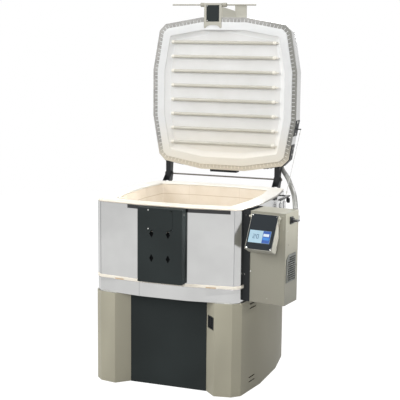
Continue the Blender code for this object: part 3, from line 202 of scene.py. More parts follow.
# Epoxy-polyester powder coat, baked to a fine orange peel; paints and films have less of it or none
def powderCoat(name, colour, shade, roughness, peel=0.12, gloss=0.5):
    made, tree, shader = newMaterial(name, Roughness=roughness, IOR=1.5, Specular_IOR_Level=gloss)
    grain = noise(tree, grainSpace(tree), size=2.5, detail=2.0)
    cloud = noise(tree, grainSpace(tree), size=220.0, detail=1.0)
    colourBy(tree, shader, twoTones(tree, cloud, colour, shade))
    bumped(tree, shader, grain, strength=peel, depth=0.12)
    return made


def nearLine(tree, value, place, reach):
    # 1 on a line at that place, fading to 0 at reach metres from it
    away = calculate(tree, "ABSOLUTE", calculate(tree, "SUBTRACT", value, place))
    return spread(tree, away, 1.0, 0.0, reach * 0.4, reach)


# Insulating firebrick: pale peach, open-pored, sawn flat; the courses meet in thin mortar joints
brickwork = dict(courses=(0.8358, 0.7223, 0.6088), endJoints=(-0.15, 0.131), endShare=0.3, joint=0.0016, pores=3.0)


def insulatingFirebrick():
    made, tree, shader = newMaterial("insulatingFirebrick", Roughness=0.95)
    space = grainSpace(tree)
    place = alongAxes(tree, space)
    facing = alongAxes(tree, addNode(tree, "ShaderNodeNewGeometry").outputs["Normal"])
    pores = cells(tree, space, brickwork["pores"])
    tone = twoTones(tree, noise(tree, space, size=60.0, detail=4.0), "#E9DFD0", "#E2D7C6")
    tone = blendColours(tree, spread(tree, pores, 1.0, 0.0, 0.05, 0.25), tone, linear("#D9CAB6"))
    width = brickwork["joint"]
    joint = 0.0
    for height in brickwork["courses"]:
        joint = calculate(tree, "MAXIMUM", joint, nearLine(tree, place["Z"], height, width))
    # End joints run upright: across X on the walls that face along Y, and the other way on the sides
    for axis, other, middle in (("X", "Y", kilnX), ("Y", "X", kilnY)):
        turned = spread(tree, calculate(tree, "ABSOLUTE", facing[other]), 0.0, brickwork["endShare"], 0.5, 0.9)
        for step in brickwork["endJoints"]:
            line = nearLine(tree, place[axis], middle + step, width)
            joint = calculate(tree, "MAXIMUM", joint, calculate(tree, "MULTIPLY", line, turned))
    colourBy(tree, shader, blendColours(tree, joint, tone, linear("#BFAD92")))
    bumped(tree, shader, calculate(tree, "SUBTRACT", pores, joint), strength=0.35, depth=0.5)
    return made


# Vacuum-formed ceramic fibre: white, matt, with short matted fibres
def ceramicFibre(name="ceramicFibreBoard", colour="#E0E0DF", shade="#DADAD8", lowEndTone=None, across=("Z", 0.98, 1.22)):
    made, tree, shader = newMaterial(name, Roughness=0.97)
    space = grainSpace(tree)
    tone = twoTones(tree, noise(tree, space, size=90.0), colour, shade)
    if lowEndTone:
        # A faint cream towards the stretch's low end: the lid's hinge edge, the rim's front; on the cove this leaves
        # its top lighter, painted light
        axis, low, high = across
        towardsLowEnd = spread(tree, alongAxes(tree, space)[axis], 1.0, 0.0, low, high)
        tone = blendColours(tree, towardsLowEnd, tone, linear(lowEndTone))
    colourBy(tree, shader, tone)
    bumped(tree, shader, noise(tree, space, size=3.0, detail=5.0, roughness=0.7), strength=0.4, depth=0.6)
    return made


# Fused quartz sleeve: milky from firing, so that the winding in it shows only faintly
def milkyQuartz():
    made, tree, shader = newMaterial("milkyFusedQuartz", Roughness=0.14, IOR=1.46, Alpha=0.86)
    streak = noise(tree, grainSpace(tree, (0.1, 1.0, 1.0)), size=8.0, detail=2.0)
    colourBy(tree, shader, twoTones(tree, streak, "#D6D3C8", "#C6C3B7"))
    return made


# Iron-chrome-aluminium winding in the sleeves, oxidised; turns 3 mm apart, drawn as stripes on a plain rod whose dark
# bands are painted shade between the turns
def oxidisedWinding(pitch=3.0):
    made, tree, shader = newMaterial("oxidisedResistanceWire", Metallic=0.3, Roughness=0.6)
    along = alongAxes(tree, grainSpace(tree))["X"]
    wave = calculate(tree, "SINE", calculate(tree, "MULTIPLY", along, perMetre(pitch) * math.tau))
    colourBy(tree, shader, twoTones(tree, wave, "#5E584E", "#9A917F", -0.4, 0.8))
    bumped(tree, shader, wave, strength=0.6, depth=0.8)
    return made


# Zinc-plated steel: cool grey with a faint spangle
def zincPlate(name="zincPlate", colour="#B9B9B6", shade="#A2A29E", roughness=0.38):
    made, tree, shader = newMaterial(name, Metallic=1.0, Roughness=roughness)
    spangle = cells(tree, grainSpace(tree), size=7.0)
    colourBy(tree, shader, blendColours(tree, spangle, linear(colour), linear(shade)))
    return made


# Steel tabs of the lid's ring: grey, straw-coloured near the hinge, darker to the right
def lidRingSteel():
    made, tree, shader = newMaterial("lidRingTabSteel", Metallic=0.45, Roughness=0.5)
    space = grainSpace(tree)
    place = alongAxes(tree, space)
    patches = noise(tree, space, size=26.0, detail=4.0, roughness=0.65)
    tone = twoTones(tree, place["X"], "#9A9996", "#777772", kilnX + 0.2, kilnX + 0.37)
    tone = blendColours(tree, spread(tree, patches, 0.0, 0.5, 0.42, 0.62), tone, linear("#757472"))
    tone = blendColours(tree, spread(tree, place["Z"], 1.0, 0.0, 1.0, 1.12), tone, linear("#C0B8A8"))
    colourBy(tree, shader, tone)
    bumped(tree, shader, patches, strength=0.15, depth=0.3)
    return made


# ABS mouldings: black, spark-eroded to a fine matt grain
def mouldedPlastic():
    made, tree, shader = newMaterial("mouldedAbs", Roughness=0.42, IOR=1.53)
    grain = noise(tree, grainSpace(tree), size=1.2, detail=2.0)
    colourBy(tree, shader, blendColours(tree, grain, linear("#1C1D1F"), linear("#26282A")))
    bumped(tree, shader, grain, strength=0.15, depth=0.08)
    return made


# Dark blue-grey oil-tempered spring wire, and off-white glazed steatite
def smoothFinish(name, colour, shade, size, **sockets):
    made, tree, shader = newMaterial(name, **sockets)
    cloud = noise(tree, grainSpace(tree), size=size, detail=2.0)
    colourBy(tree, shader, blendColours(tree, cloud, linear(colour), linear(shade)))
    return made


# Backlit screen glass: the colour shines through hard-coated glass
def litGlass(name, colour, shade):
    made, tree, shader = newMaterial(name, Roughness=0.12, IOR=1.5, Base_Color=linear("#080B0E"),
                                     Specular_IOR_Level=0.12, Emission_Strength=1.0)
    pixels = noise(tree, grainSpace(tree), size=22.0, detail=1.0)
    colourBy(tree, shader, twoTones(tree, pixels, colour, shade), "Emission Color")
    return made


# A number without a name is a roughness
finish = {
    "jacket": brushedStainless(),
    "polished": brushedStainless("polishedStainless304", "#C2C2C1", "#BBBBBA", 0.13),
    "greyPowder": powderCoat("warmGreyPowderCoat", "#ABA795", "#A5A190", 0.5, gloss=0.12),
    "boxPowder": powderCoat("boxGreyPowderCoat", "#959385", "#908D80", 0.42),
    "caseGrey": powderCoat("caseGreyPowderCoat", "#B3B1A6", "#ACAA9F", 0.45, gloss=0.25),
    "blackPowder": powderCoat("charcoalPowderCoat", "#333838", "#2F3333", 0.6, gloss=0.03),
    "facePrint": powderCoat("faceOverlayFilm", "#282D31", "#25292D", 0.55, peel=0.05, gloss=0.08),
    "darkPaint": powderCoat("blackStovedPaint", "#26282A", "#202224", 0.45, gloss=0.22),
    "glossTrim": powderCoat("blackGlossTrim", "#141517", "#1B1C1E", 0.08, peel=0.02, gloss=0.6),
    "brick": insulatingFirebrick(),
    "fibre": ceramicFibre(lowEndTone="#E6E0D2"),
    # The border and the cove are the same fibre as the field: the border set darker, painted shade; the cove set
    # lighter and lightest at its top, painted light
    "borderFibre": ceramicFibre("ceramicFibreBorder", "#DADBDB", "#D5D6D6", "#DAD4C6"),
    "coveFibre": ceramicFibre("coveFibrePaintedLight", "#EAEBEB", "#E5E6E6", "#DED8CB"),
    "blanket": ceramicFibre("ceramicFibreBlanket", "#F4F2EC", "#EFECE4", "#ECE4D5",
                            ("Y", kilnY - 0.36, kilnY - 0.28)),
    "slabEdge": ceramicFibre("sawnSlabEdge", "#F6F0E4", "#EEE6D7"),
    "quartz": milkyQuartz(),
    "winding": oxidisedWinding(),
    "zinc": zincPlate(),
    "screw": zincPlate("brightZincScrew", "#E6E6E2", "#CFCFCB", 0.25),
    "satinNickel": zincPlate("satinNickelPlate", "#B5B3A8", "#A8A69B", 0.36),
    "barPaint": powderCoat("handleBarEnamel", "#A3A093", "#9A978A", 0.35),
    "rodSteel": zincPlate("oiledRodSteel", "#6B6661", "#5A5651", 0.42),
    "hose": zincPlate("galvanisedStrip", "#92928F", "#7B7B78", 0.4),
    # Painted shade in the bottoms of the conduit's grooves
    "hoseGroove": zincPlate("paintedGrooveShade", "#4E4E4C", "#424240", 0.6),
    "ring": lidRingSteel(),
    "plastic": mouldedPlastic(),
    "grille": powderCoat("stovedGrilleGrey", "#6E706C", "#666864", 0.5),
    "spring": smoothFinish("oilTemperedWire", "#3C3D40", "#55565A", size=6.0, Metallic=1.0, Roughness=0.35),
    "ceramic": smoothFinish("glazedSteatite", "#E4E1D7", "#DAD6CA", size=12.0, Roughness=0.25, IOR=1.55),
    "screen": litGlass("litScreenGlass", "#AECFDF", "#A6C8DA"),
    "screenBlue": litGlass("litBlueColumn", "#1450A8", "#1A57AC"),
    "screenBright": litGlass("litBrightButton", "#2E86DC", "#2A7ED2"),
    "screenWhite": litGlass("litWhiteButton", "#DCE9F4", "#D4E2EE"),
    "ink": powderCoat("screenPrintedInk", "#3A5A78", "#36546F", 0.5, peel=0.0),
    # Painted shade inside the slab band's slots
    "slot": powderCoat("slotShadeTan", "#CDB496", "#C5AB8B", 0.8),
    "seam": powderCoat("seamShadow", "#77797B", "#6C6E70", 0.7, peel=0.0),
    # Painted shade: near-black sheets set where the inside of the cabinet and its vents falls into shade
    "deepShade": powderCoat("paintedShadeBlack", "#0E0F10", "#0B0C0D", 0.9, peel=0.0, gloss=0.05),
}
print("finishes made:", len(finish))


def setFinish(item, *names):
    item.data.materials.clear()
    for name in names:
        item.data.materials.append(finish[name])


def makePiece(name, mesh, finishName, body):
    piece = placed(name, mesh)
    setFinish(piece, finishName)
    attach(piece, body)
    return piece


def easeEdges(piece, width):
    edge = piece.modifiers.new("softEdges", "BEVEL")
    edge.width = width
    edge.segments = 2
    edge.limit_method = "ANGLE"
    edge.angle_limit = math.radians(30.0)


def smoothBelow(mesh, degrees):
    mesh.shade_smooth()
    mesh.set_sharp_from_angle(angle=math.radians(degrees))


# Sheet metal and fibre are shown as softened copies; values in metres and degrees
softening = dict(weld=0.00001, flatBelow=0.5, sharpFrom=35.0)


def softenedCopy(node, edgeMillimetres):
    mesh = nodes[node].data.copy()
    mesh.name = node + "Softened"
    shape = bmesh.new()
    shape.from_mesh(mesh)
    bmesh.ops.remove_doubles(shape, verts=shape.verts, dist=softening["weld"])
    bmesh.ops.dissolve_limit(shape, angle_limit=math.radians(softening["flatBelow"]), verts=shape.verts,
                             edges=shape.edges)
    shape.to_mesh(mesh)
    shape.free()
    piece = makePiece(node + "_dressed", mesh, finishOf[node], nodes[node]["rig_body"])
    easeEdges(piece, edgeMillimetres / 1000.0)
    smoothBelow(mesh, softening["sharpFrom"])
    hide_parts(node)


nodeFinishes = {
    "jacket": ["jacket_right", "jacket_rear", "jacket_left", "jacket_front_left", "jacket_front_right", "lid_casing"],
    "polished": ["floor_pan"],
    "greyPowder": ["base_cabinet"],
    "boxPowder": ["control_box", "control_box_plate", "tilt_bracket"],
    "caseGrey": ["controller_housing", "handle_bracket"],
    "blackPowder": ["base_front_panel", "front_cover", "front_plate", "handle_plate"],
    "facePrint": ["controller_face"],
    "darkPaint": ["box_standoff", "hinge_arm_left", "hinge_arm_right", "hinge_bracket_left", "hinge_bracket_right",
                  "lid_wiring_cover", "stay_bracket", "spring_yoke", "spring_anchor"],
    "glossTrim": ["rim_strip"],
    "brick": ["brick_wall", "brick_top_course"],
    "fibre": ["lid_field", "floor_insulation"],
    "borderFibre": ["lid_border"],
    "blanket": ["rim_blanket"],
    "slabEdge": ["floor_slab"],
    "quartz": ["quartz_tube_%d" % row for row in range(1, 9)],
    "rodSteel": ["hinge_rod"],
    "zinc": ["base_deck", "stay_cable", "conduit", "conduit_fitting_box", "conduit_elbow"],
    "barPaint": ["handle_bar"],
    "ring": ["lid_ring"],
    "plastic": ["base_vent_grille", "relay", "switch_plate", "switch_knob"],
    "grille": ["control_box_grille"],
    "spring": ["spring_front", "spring_rear"],
    "ceramic": ["thermocouple"],
    "screen": ["touch_screen"],
}
finishOf = {node: finishName for finishName, group in nodeFinishes.items() for node in group}
for node, finishName in finishOf.items():
    setFinish(nodes[node], finishName)

# Widths of the softened edges, in millimetres
softEdges = {
    "base_cabinet": 0.5, "front_cover": 0.8, "control_box": 0.9, "controller_housing": 0.8, "tilt_bracket": 0.4,
    "rim_strip": 0.3, "handle_bracket": 0.4, "switch_knob": 0.8, "switch_plate": 0.8, "hinge_bracket_left": 0.6,
    "hinge_bracket_right": 0.6, "hinge_arm_left": 0.6, "hinge_arm_right": 0.6, "lid_wiring_cover": 0.8,
    "lid_casing": 0.8, "floor_pan": 0.5, "spring_yoke": 0.6, "stay_bracket": 0.5, "conduit_elbow": 1.2,
    "conduit_fitting_box": 1.2, "lid_border": 4.0, "rim_blanket": 3.0, "floor_slab": 1.5, "handle_bar": 0.5,
}
for node, width in softEdges.items():
    softenedCopy(node, width)
print("nodes finished")


# Where a ray from a point in the kiln's frame meets a node: the point and the surface's way out
skins = {}


def onSurface(node, start, way):
    if node not in skins:
        mesh = nodes[node].data
        skins[node] = BVHTree.FromPolygons([v.co for v in mesh.vertices], [list(p.vertices) for p in mesh.polygons])
    point, outward, _, _ = skins[node].ray_cast(inKiln(*start), Vector(way).normalized())
    if point is None:
        raise ValueError("no surface of %s on the ray from %s" % (node, start))
    return point, outward if outward.dot(Vector(way)) < 0 else -outward


def joinLoops(shape, loops, finishIndex=lambda ring: 0):
    for ring, (low, high) in enumerate(zip(loops, loops[1:])):
        for step in range(len(low)):
            following = (step + 1) % len(low)
            face = shape.faces.new((low[step], low[following], high[following], high[step]))
            face.material_index = finishIndex(ring)


# Rods, hoses and wires: rings round a line of points, the radius given for each ring and angle
def addSweep(shape, spine, radiusAt, steps, finishIndex=lambda ring: 0):
    ahead = (spine[1] - spine[0]).normalized()
    side = ahead.orthogonal().normalized()
    loops = []
    for ring, point in enumerate(spine):
        following = (spine[min(ring + 1, len(spine) - 1)] - spine[max(ring - 1, 0)]).normalized()
        side = (ahead.rotation_difference(following) @ side).normalized()
        ahead = following
        other = ahead.cross(side)
        loop = []
        for step in range(steps):
            angle = math.tau * step / steps
            way = side * math.cos(angle) + other * math.sin(angle)
            loop.append(shape.verts.new(point + way * radiusAt(ring, angle)))
        loops.append(loop)
    shape.faces.new(loops[0][::-1]).material_index = finishIndex(0)
    shape.faces.new(loops[-1]).material_index = finishIndex(len(spine) - 2)
    joinLoops(shape, loops, finishIndex)


# Turned pieces: the profile's pairs are shares of the run and of the radius
def addTurned(shape, start, run, radius, steps, profile=((0.0, 1.0), (1.0, 1.0)), finishIndex=0):
    spine = [start + run * along for along, _ in profile]
    addSweep(shape, spine, lambda ring, angle: radius * profile[ring][1], steps, lambda ring: finishIndex)


def finishedMesh(shape, name, sharpFrom=40.0):
    bmesh.ops.recalc_face_normals(shape, faces=shape.faces)
    mesh = bpy.data.meshes.new(name)
    shape.to_mesh(mesh)
    shape.free()
    if sharpFrom:
        smoothBelow(mesh, sharpFrom)
    return mesh


# Small pan-head screws with a cross recess, grouped by what carries them; widths are shares of the radius
screwHead = dict(rise=0.55, outline=((1.0, -0.1), (1.0, 0.35), (0.82, 0.85), (0.62, 0.98)), cross=0.46, waist=0.238,
                 foot=0.8, depth=0.35, deepest=0.8, steps=16)


def screwGroup(name, places, radius, body, rise=screwHead["rise"]):
    # places: (point on the surface, outward direction). Only a group's first head stands proud: the foot of its
    # recess is carried over as the next one's rise, which leaves the others flush
    steps = screwHead["steps"]
    cross = [screwHead["cross"] if step % 4 < 2 else screwHead["waist"] for step in range(steps)]
    shape = bmesh.new()
    for point, outward in places:
        height = radius * rise
        rings = [([share] * steps, height * lift) for share, lift in screwHead["outline"]]
        top = rings[-1][1]
        rise = top - min(radius * screwHead["depth"], height * screwHead["deepest"])
        rings += [(cross, top), ([share * screwHead["foot"] for share in cross], rise)]
        outward = Vector(outward).normalized()
        side = outward.orthogonal().normalized()
        other = outward.cross(side)
        loops = []
        for shares, lift in rings:
            loop = []
            for step, share in enumerate(shares):
                angle = math.tau * (step - 0.5) / steps
                way = side * math.cos(angle) + other * math.sin(angle)
                loop.append(shape.verts.new(point + way * share * radius + outward * lift))
            loops.append(loop)
        joinLoops(shape, loops)
        shape.faces.new(loops[-1])
        shape.faces.new(loops[0][::-1])
    makePiece(name, finishedMesh(shape, name), "screw", body)


def plateSeats(node, inset):
    # Where screws sit at the corners of a plate that faces the front
    low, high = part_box(node)
    return [(Vector((x, low.y, z)), (0, -1, 0)) for x in (low.x + inset, high.x - inset)
            for z in (low.z + inset, high.z - inset)]


def rectangle(a0, a1, b0, b1):
    return (a0, b0), (a1, b0), (a1, b1), (a0, b1)


def flatPiece(name, corners, outward, thickness, finishName, body, edge=0.0):
    # A thin plate: corners in order on the surface it lies on, thickened outward, edges eased
    outward = Vector(outward).normalized() * thickness
    shape = bmesh.new()
    loops = [[shape.verts.new(corner + outward * lift) for corner in corners] for lift in (0, 1)]
    shape.faces.new(loops[0][::-1])
    shape.faces.new(loops[1])
    joinLoops(shape, loops)
    piece = makePiece(name, finishedMesh(shape, name, 0.0), finishName, body)
    if edge:
        easeEdges(piece, edge)


# Front cover: screws down both side flanges and at the corners of the bare plate
frontCover = dict(sideScrews=(0.859, 0.711, 0.56), sideInset=0.022, plateInset=0.006, screw=0.0034,
                  plateScrew=0.003)


def dressFrontCover():
    low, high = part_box("front_cover")
    places = [(Vector((x, low.y + frontCover["sideInset"], z)), (way, 0, 0)) for z in frontCover["sideScrews"]
              for x, way in ((low.x, -1), (high.x, 1))]
    screwGroup("coverScrews", places, frontCover["screw"], "root")
    seats = plateSeats("front_plate", frontCover["plateInset"])
    screwGroup("coverPlateScrews", seats, frontCover["plateScrew"], "root")


dressFrontCover()

# Control box frame: the front facet of the body's right side
boxPlan = dict(corner=(0.3645, -0.339), far=(0.395, -0.12))


def inBox(x, y, z):
    corner, far = Vector(boxPlan["corner"]), Vector(boxPlan["far"])
    along = (far - corner).normalized()
    spot = corner + Vector((along.y, -along.x)) * x + along * y
    return inKiln(spot.x, spot.y, z)


def boxWay(x, y, z):
    return (inBox(x, y, z) - inBox(0, 0, 0)).normalized()


controlBox = dict(right=0.2103, front=0.0242, sideScrews=((0.049, 0.803), (0.056, 0.7375)), screw=0.0036,
                  frontScrews=((0.0375, 0.602), (0.119, 0.48), (0.0095, 0.8605), (0.007, 0.5844)))


def dressControlBox():
    places = [(inBox(x, controlBox["front"], z), boxWay(0, -1, 0)) for x, z in controlBox["frontScrews"]]
    places += [(inBox(controlBox["right"], y, z), boxWay(1, 0, 0)) for y, z in controlBox["sideScrews"]]
    screwGroup("boxScrews", places, controlBox["screw"], "root")


dressControlBox()

# Controller: corner screws and the lit screen's panes; the lean is in degrees
controller = dict(left=0.0453, width=0.1336, length=0.1692, topFront=0.015, topZ=0.876, lean=25.7, inset=0.0075,
                  screw=0.003)
screen = dict(left=0.0085, top=0.078, width=0.106, height=0.058, thickness=0.0005, edge=0.3,
              panes=(("screenColumn", "screenBlue", 0.635, 0.995, 0.01, 0.99, 0.0),
                     ("screenButton", "screenWhite", 0.665, 0.93, 0.24, 0.45, 1.0),
                     ("screenBlock", "screenBright", 0.665, 0.96, 0.52, 0.74, 1.0)))
# A plain reading of 20 in seven-bar numerals, in shares of the screen; each bar runs from x, y to x, y
reading = dict(left=0.2, top=0.34, apart=0.16, unitX=0.085, unitY=0.15, stroke=0.013, tall=1.6, lift=0.5,
               figures=("abged", "abcdef"),
               bars={"a": (0, 0, 1, 0), "b": (1, 0, 1, 1), "c": (1, 1, 1, 2), "d": (0, 2, 1, 2), "e": (0, 1, 0, 2),
                     "f": (0, 0, 0, 1), "g": (0, 1, 1, 1)})


def onFace(across, down, proud):
    lean = math.radians(controller["lean"])
    y = controller["topFront"] - math.sin(lean) * down - math.cos(lean) * proud
    z = controller["topZ"] - math.cos(lean) * down + math.sin(lean) * proud
    return inBox(controller["left"] + across, y, z)


faceWay = onFace(0, 0, 1) - onFace(0, 0, 0)


def screenPane(name, finishName, a0, a1, b0, b1, lift):
    # Sides in shares of the screen, lift in shares of a pane's thickness
    thickness = screen["thickness"]
    corners = [onFace(screen["left"] + screen["width"] * a, screen["top"] + screen["height"] * b, lift * thickness)
               for a, b in rectangle(a0, a1, b0, b1)]
    flatPiece(name, corners, faceWay, thickness, finishName, "controller", thickness * screen["edge"])


def dressController():
    inset, width, length = controller["inset"], controller["width"], controller["length"]
    places = [(onFace(a, b, 0), faceWay) for a in (inset, width - inset) for b in (inset, length - inset)]
    screwGroup("controllerScrews", places, controller["screw"], "controller")
    for pane in screen["panes"]:
        screenPane(*pane)
    strokeX, strokeY = reading["stroke"], reading["stroke"] * reading["tall"]
    for place, figure in enumerate(reading["figures"]):
        for bar in figure:
            x0, y0, x1, y1 = reading["bars"][bar]
            a0 = reading["left"] + place * reading["apart"] + x0 * reading["unitX"]
            b0 = reading["top"] + y0 * reading["unitY"]
            a1, b1 = a0 + (x1 - x0) * reading["unitX"], b0 + (y1 - y0) * reading["unitY"]
            screenPane("readingBar%d%s" % (place, bar), "ink", a0 - strokeX, a1 + strokeX, b0 - strokeY, b1 + strokeY,
                       reading["lift"])


dressController()

# Slab band: a flat tan patch stands for the slot in each front facet of its edge, which runs from the flat's end to
# the corner; its tan is painted shade inside the slot
slabSlots = dict(spans=((-0.2555, -0.2085), (0.2095, 0.2575)), low=0.5172, high=0.5232, proud=0.0004,
                 flatEnd=(0.1203, -0.398), corner=(0.3406, -0.368))


def dressSlab():
    (flatX, flatY), (cornerX, cornerY) = slabSlots["flatEnd"], slabSlots["corner"]
    slope = (cornerY - flatY) / (cornerX - flatX)
    for index, span in enumerate(slabSlots["spans"]):
        side = 1 if span[0] > 0 else -1
        a, b = [inKiln(x, flatY + slope * (abs(x) - flatX), 0) for x in sorted(span, key=abs)]
        along = (b - a).normalized()
        corners = [Vector((spot.x, spot.y, z)) for spot, z in rectangle(a, b, slabSlots["low"], slabSlots["high"])]
        flatPiece("slabSlot%d" % index, corners, Vector((along.y, -along.x, 0)) * side, slabSlots["proud"], "slot",
                  "root")


dressSlab()

# Handle: flat corner screws of the bare plate, which clear the rim with the lid down
handle = dict(inset=0.005, screw=0.0028, rise=0.22)
screwGroup("handlePlateScrews", plateSeats("handle_plate", handle["inset"]), handle["screw"], "lid", handle["rise"])

# Quartz elements, which share one mesh: a milky sleeve round its winding, with a ceramic collar at each end
quartz = dict(sleeve=(-0.284, 0.268), sleeveRadius=0.0084, winding=(-0.28, 0.264), windingRadius=0.0056, sides=28,
              collars=((-1, 0.282, 0.2985), (1, 0.266, 0.285)), collar=0.0094, pin=0.004, tip=0.3001,
              tipShare=0.8, swell=((0.0, 0.8), (0.03, 0.96), (0.07, 1.0), (0.8, 1.0), (0.93, 0.94), (1.0, 0.72)))


def quartzMesh():
    shape = bmesh.new()
    for finishIndex, part in enumerate(("sleeve", "winding")):
        start, end = quartz[part]
        addTurned(shape, Vector((start, 0, 0)), Vector((end - start, 0, 0)), quartz[part + "Radius"], quartz["sides"],
                  finishIndex=finishIndex)
    for way, start, end in quartz["collars"]:
        profile = [(start + (end - start) * share, quartz["collar"] * swell) for share, swell in quartz["swell"]]
        profile += [(end, quartz["pin"]), (quartz["tip"], quartz["pin"] * quartz["tipShare"])]
        addTurned(shape, Vector((0, 0, 0)), Vector((way, 0, 0)), 1.0, quartz["sides"], profile, 2)
    return finishedMesh(shape, "quartzElement", 50.0)


def dressQuartz():
    mesh = quartzMesh()
    for finishName in ("quartz", "winding", "ceramic"):
        mesh.materials.append(finish[finishName])
    for row in range(1, 9):
        node = "quartz_tube_%d" % row
        low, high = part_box(node)
        piece = placed("quartzElement%d" % row, mesh)
        piece.location = (low + high) / 2
        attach(piece, "lid")
        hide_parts(node)


dressQuartz()

# Lid: the fibre's recess has no hard corner, so a cove runs round the foot of its wall
lidCove = dict(width=0.028, height=0.021, power=1.6, steps=10, slice=0.0005, sunk=0.0002)


def innerOpening(node, depth):
    # The corners of a framed node's opening, on its lowest slice along Y, in order round its middle
    low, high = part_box(node)
    middle = (low + high) / 2
    mesh = nodes[node].data
    corners = {}
    for polygon in mesh.polygons:
        normal, aside = polygon.normal, middle - polygon.center
        if abs(normal.y) < 0.5 and normal.x * aside.x + normal.z * aside.z > 0:
            for vertex in polygon.vertices:
                spot = mesh.vertices[vertex].co
                if spot.y < low.y + depth:
                    corners[(round(spot.x, 4), round(spot.z, 4))] = Vector((spot.x, spot.z))
    return sorted(corners.values(), key=lambda spot: math.atan2(spot.y - middle.z, spot.x - middle.x))


def dressLidCove():
    outline = innerOpening("lid_border", lidCove["slice"])
    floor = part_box("lid_field")[0].y - lidCove["sunk"]
    inward = []
    for k, spot in enumerate(outline):
        before, after = (spot - outline[k - 1]).normalized(), (outline[(k + 1) % len(outline)] - spot).normalized()
        first, second = Vector((-before.y, before.x)), Vector((-after.y, after.x))
        inward.append((first + second) / (1.0 + first.dot(second)))
    shape = bmesh.new()
    loops = []
    for step in range(lidCove["steps"] + 1):
        share = step / lidCove["steps"]
        aside, y = lidCove["width"] * share, floor - lidCove["height"] * (1 - share) ** lidCove["power"]
        loops.append([shape.verts.new((spot.x + way.x * aside, y, spot.y + way.y * aside))
                      for spot, way in zip(outline, inward)])
    loops.append([shape.verts.new((spot.x, floor, spot.y)) for spot in outline])
    joinLoops(shape, loops + loops[:1])
    makePiece("lidCove", finishedMesh(shape, "lidCove", 35.0), "coveFibre", "lid")


dressLidCove()

# Painted shadow: thin grey rods in the gaps at the jacket's corners, along the front sheets' fold lines and at the
# pan's lap joint
seams = dict(corner=(0.364, 0.3388), fold=(0.3394, 0.365), low=0.533, high=0.8845, radius=0.0009, sides=10,
             panX=-0.1235, panLow=0.45, panHigh=0.5155, panRadius=0.0006)


def dressSeams():
    (cornerX, cornerY), (foldX, foldY) = seams["corner"], seams["fold"]
    shape = bmesh.new()
    for side in (-1, 1):
        for x, y in ((cornerX, -cornerY), (cornerX, cornerY), (foldX, -foldY)):
            addTurned(shape, inKiln(side * x, y, seams["low"]), Vector((0, 0, seams["high"] - seams["low"])),
                      seams["radius"], seams["sides"])
    start, _ = onSurface("floor_pan", (seams["panX"], -0.5, 0.48), (0, 1, 0))
    start.z = seams["panLow"]
    addTurned(shape, start, Vector((0, 0, seams["panHigh"] - seams["panLow"])), seams["panRadius"], seams["sides"])
    makePiece("sheetSeamShadows", finishedMesh(shape, "sheetSeamShadows"), "seam", "root")


dressSeams()

# Conduit: galvanised strip wound into a ribbed hose, along the CAD solid's route; the profile is how far in the strip
# lies at each quarter of a rib, and the deepest rings take a darker finish, painted shade in the grooves
conduit = dict(route=((0.3, 0.505, 1.0063), (0.3, 0.505, 0.9943), (0.3063, 0.4945, 0.9804),
                      (0.3182, 0.4814, 0.9676), (0.3319, 0.4674, 0.9562), (0.3455, 0.4515, 0.9462),
                      (0.3671, 0.4195, 0.9302), (0.3936, 0.3626, 0.9129), (0.437, 0.2463, 0.9052),
                      (0.52, -0.0204, 0.9224), (0.5514, -0.117, 0.9142), (0.5652, -0.1578, 0.9021),
                      (0.5705, -0.1731, 0.8906), (0.5737, -0.179, 0.875), (0.5737, -0.179, 0.86)),
               ribs=150, profile=(0.0, 0.15, 1.0, 0.45), radius=0.0122, groove=0.0013, darkFrom=0.4, length=0.809,
               sides=20, plainRings=6)


def smoothRoute(points, count):
    # Catmull-Rom between the straight first and last runs, in evenly spaced samples
    finer = 24
    fine = [points[0]]
    for a, b, c, d in zip(points, points[1:], points[2:], points[3:]):
        for step in range(finer):
            t = step / finer
            fine.append(0.5 * ((2 * b) + (c - a) * t + (2 * a - 5 * b + 4 * c - d) * t * t
                               + (3 * b - a - 3 * c + d) * t * t * t))
    fine += points[-2:]
    reach = [0.0]
    for a, b in zip(fine, fine[1:]):
        reach.append(reach[-1] + (b - a).length)
    samples, seek = [], 0
    for index in range(count):
        wanted = reach[-1] * index / (count - 1)
        while seek < len(reach) - 2 and reach[seek + 1] < wanted:
            seek += 1
        share = (wanted - reach[seek]) / max(reach[seek + 1] - reach[seek], 1e-9)
        samples.append(fine[seek].lerp(fine[seek + 1], share))
    return samples


def crossingPiece(name, mesh, finishNames, node):
    # A hose or cable between lid and body, baked in place and left out of the bodies
    piece = placed(name, mesh)
    setFinish(piece, *finishNames)
    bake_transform(piece)
    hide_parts(node)
    return piece


def dressConduit():
    profile, plain = conduit["profile"], conduit["plainRings"]
    rings = conduit["ribs"] * len(profile)
    path = smoothRoute([inKiln(*point) for point in conduit["route"]], rings)

    def depth(ring):
        return 0.0 if ring < plain or ring >= rings - plain else profile[ring % len(profile)]

    shape = bmesh.new()
    addSweep(shape, path, lambda ring, angle: conduit["radius"] - conduit["groove"] * depth(ring), conduit["sides"],
             lambda ring: 1 if min(depth(ring), depth(ring + 1)) > conduit["darkFrom"] else 0)
    piece = crossingPiece("conduitHose", finishedMesh(shape, "conduitHose", 60.0), ("hose", "hoseGroove"), "conduit")


dressConduit()

# Stay cable: six strands laid in a twist, crimped into a sleeve at each end
stayCable = dict(upper=(0.4128, 0.4582, 1.1894), lower=(0.4128, 0.21, 0.8757), radius=0.0014, strands=6,
                 strandDepth=0.22, lay=0.012, rings=240, sleeveRadius=0.0024, sleeveLength=0.014, sleeveInset=0.016,
                 sleeve=((0.0, 0.82), (0.06, 1.0), (0.45, 1.0), (0.5, 0.86), (0.55, 1.0), (0.94, 1.0), (1.0, 0.82)),
                 sides=16)


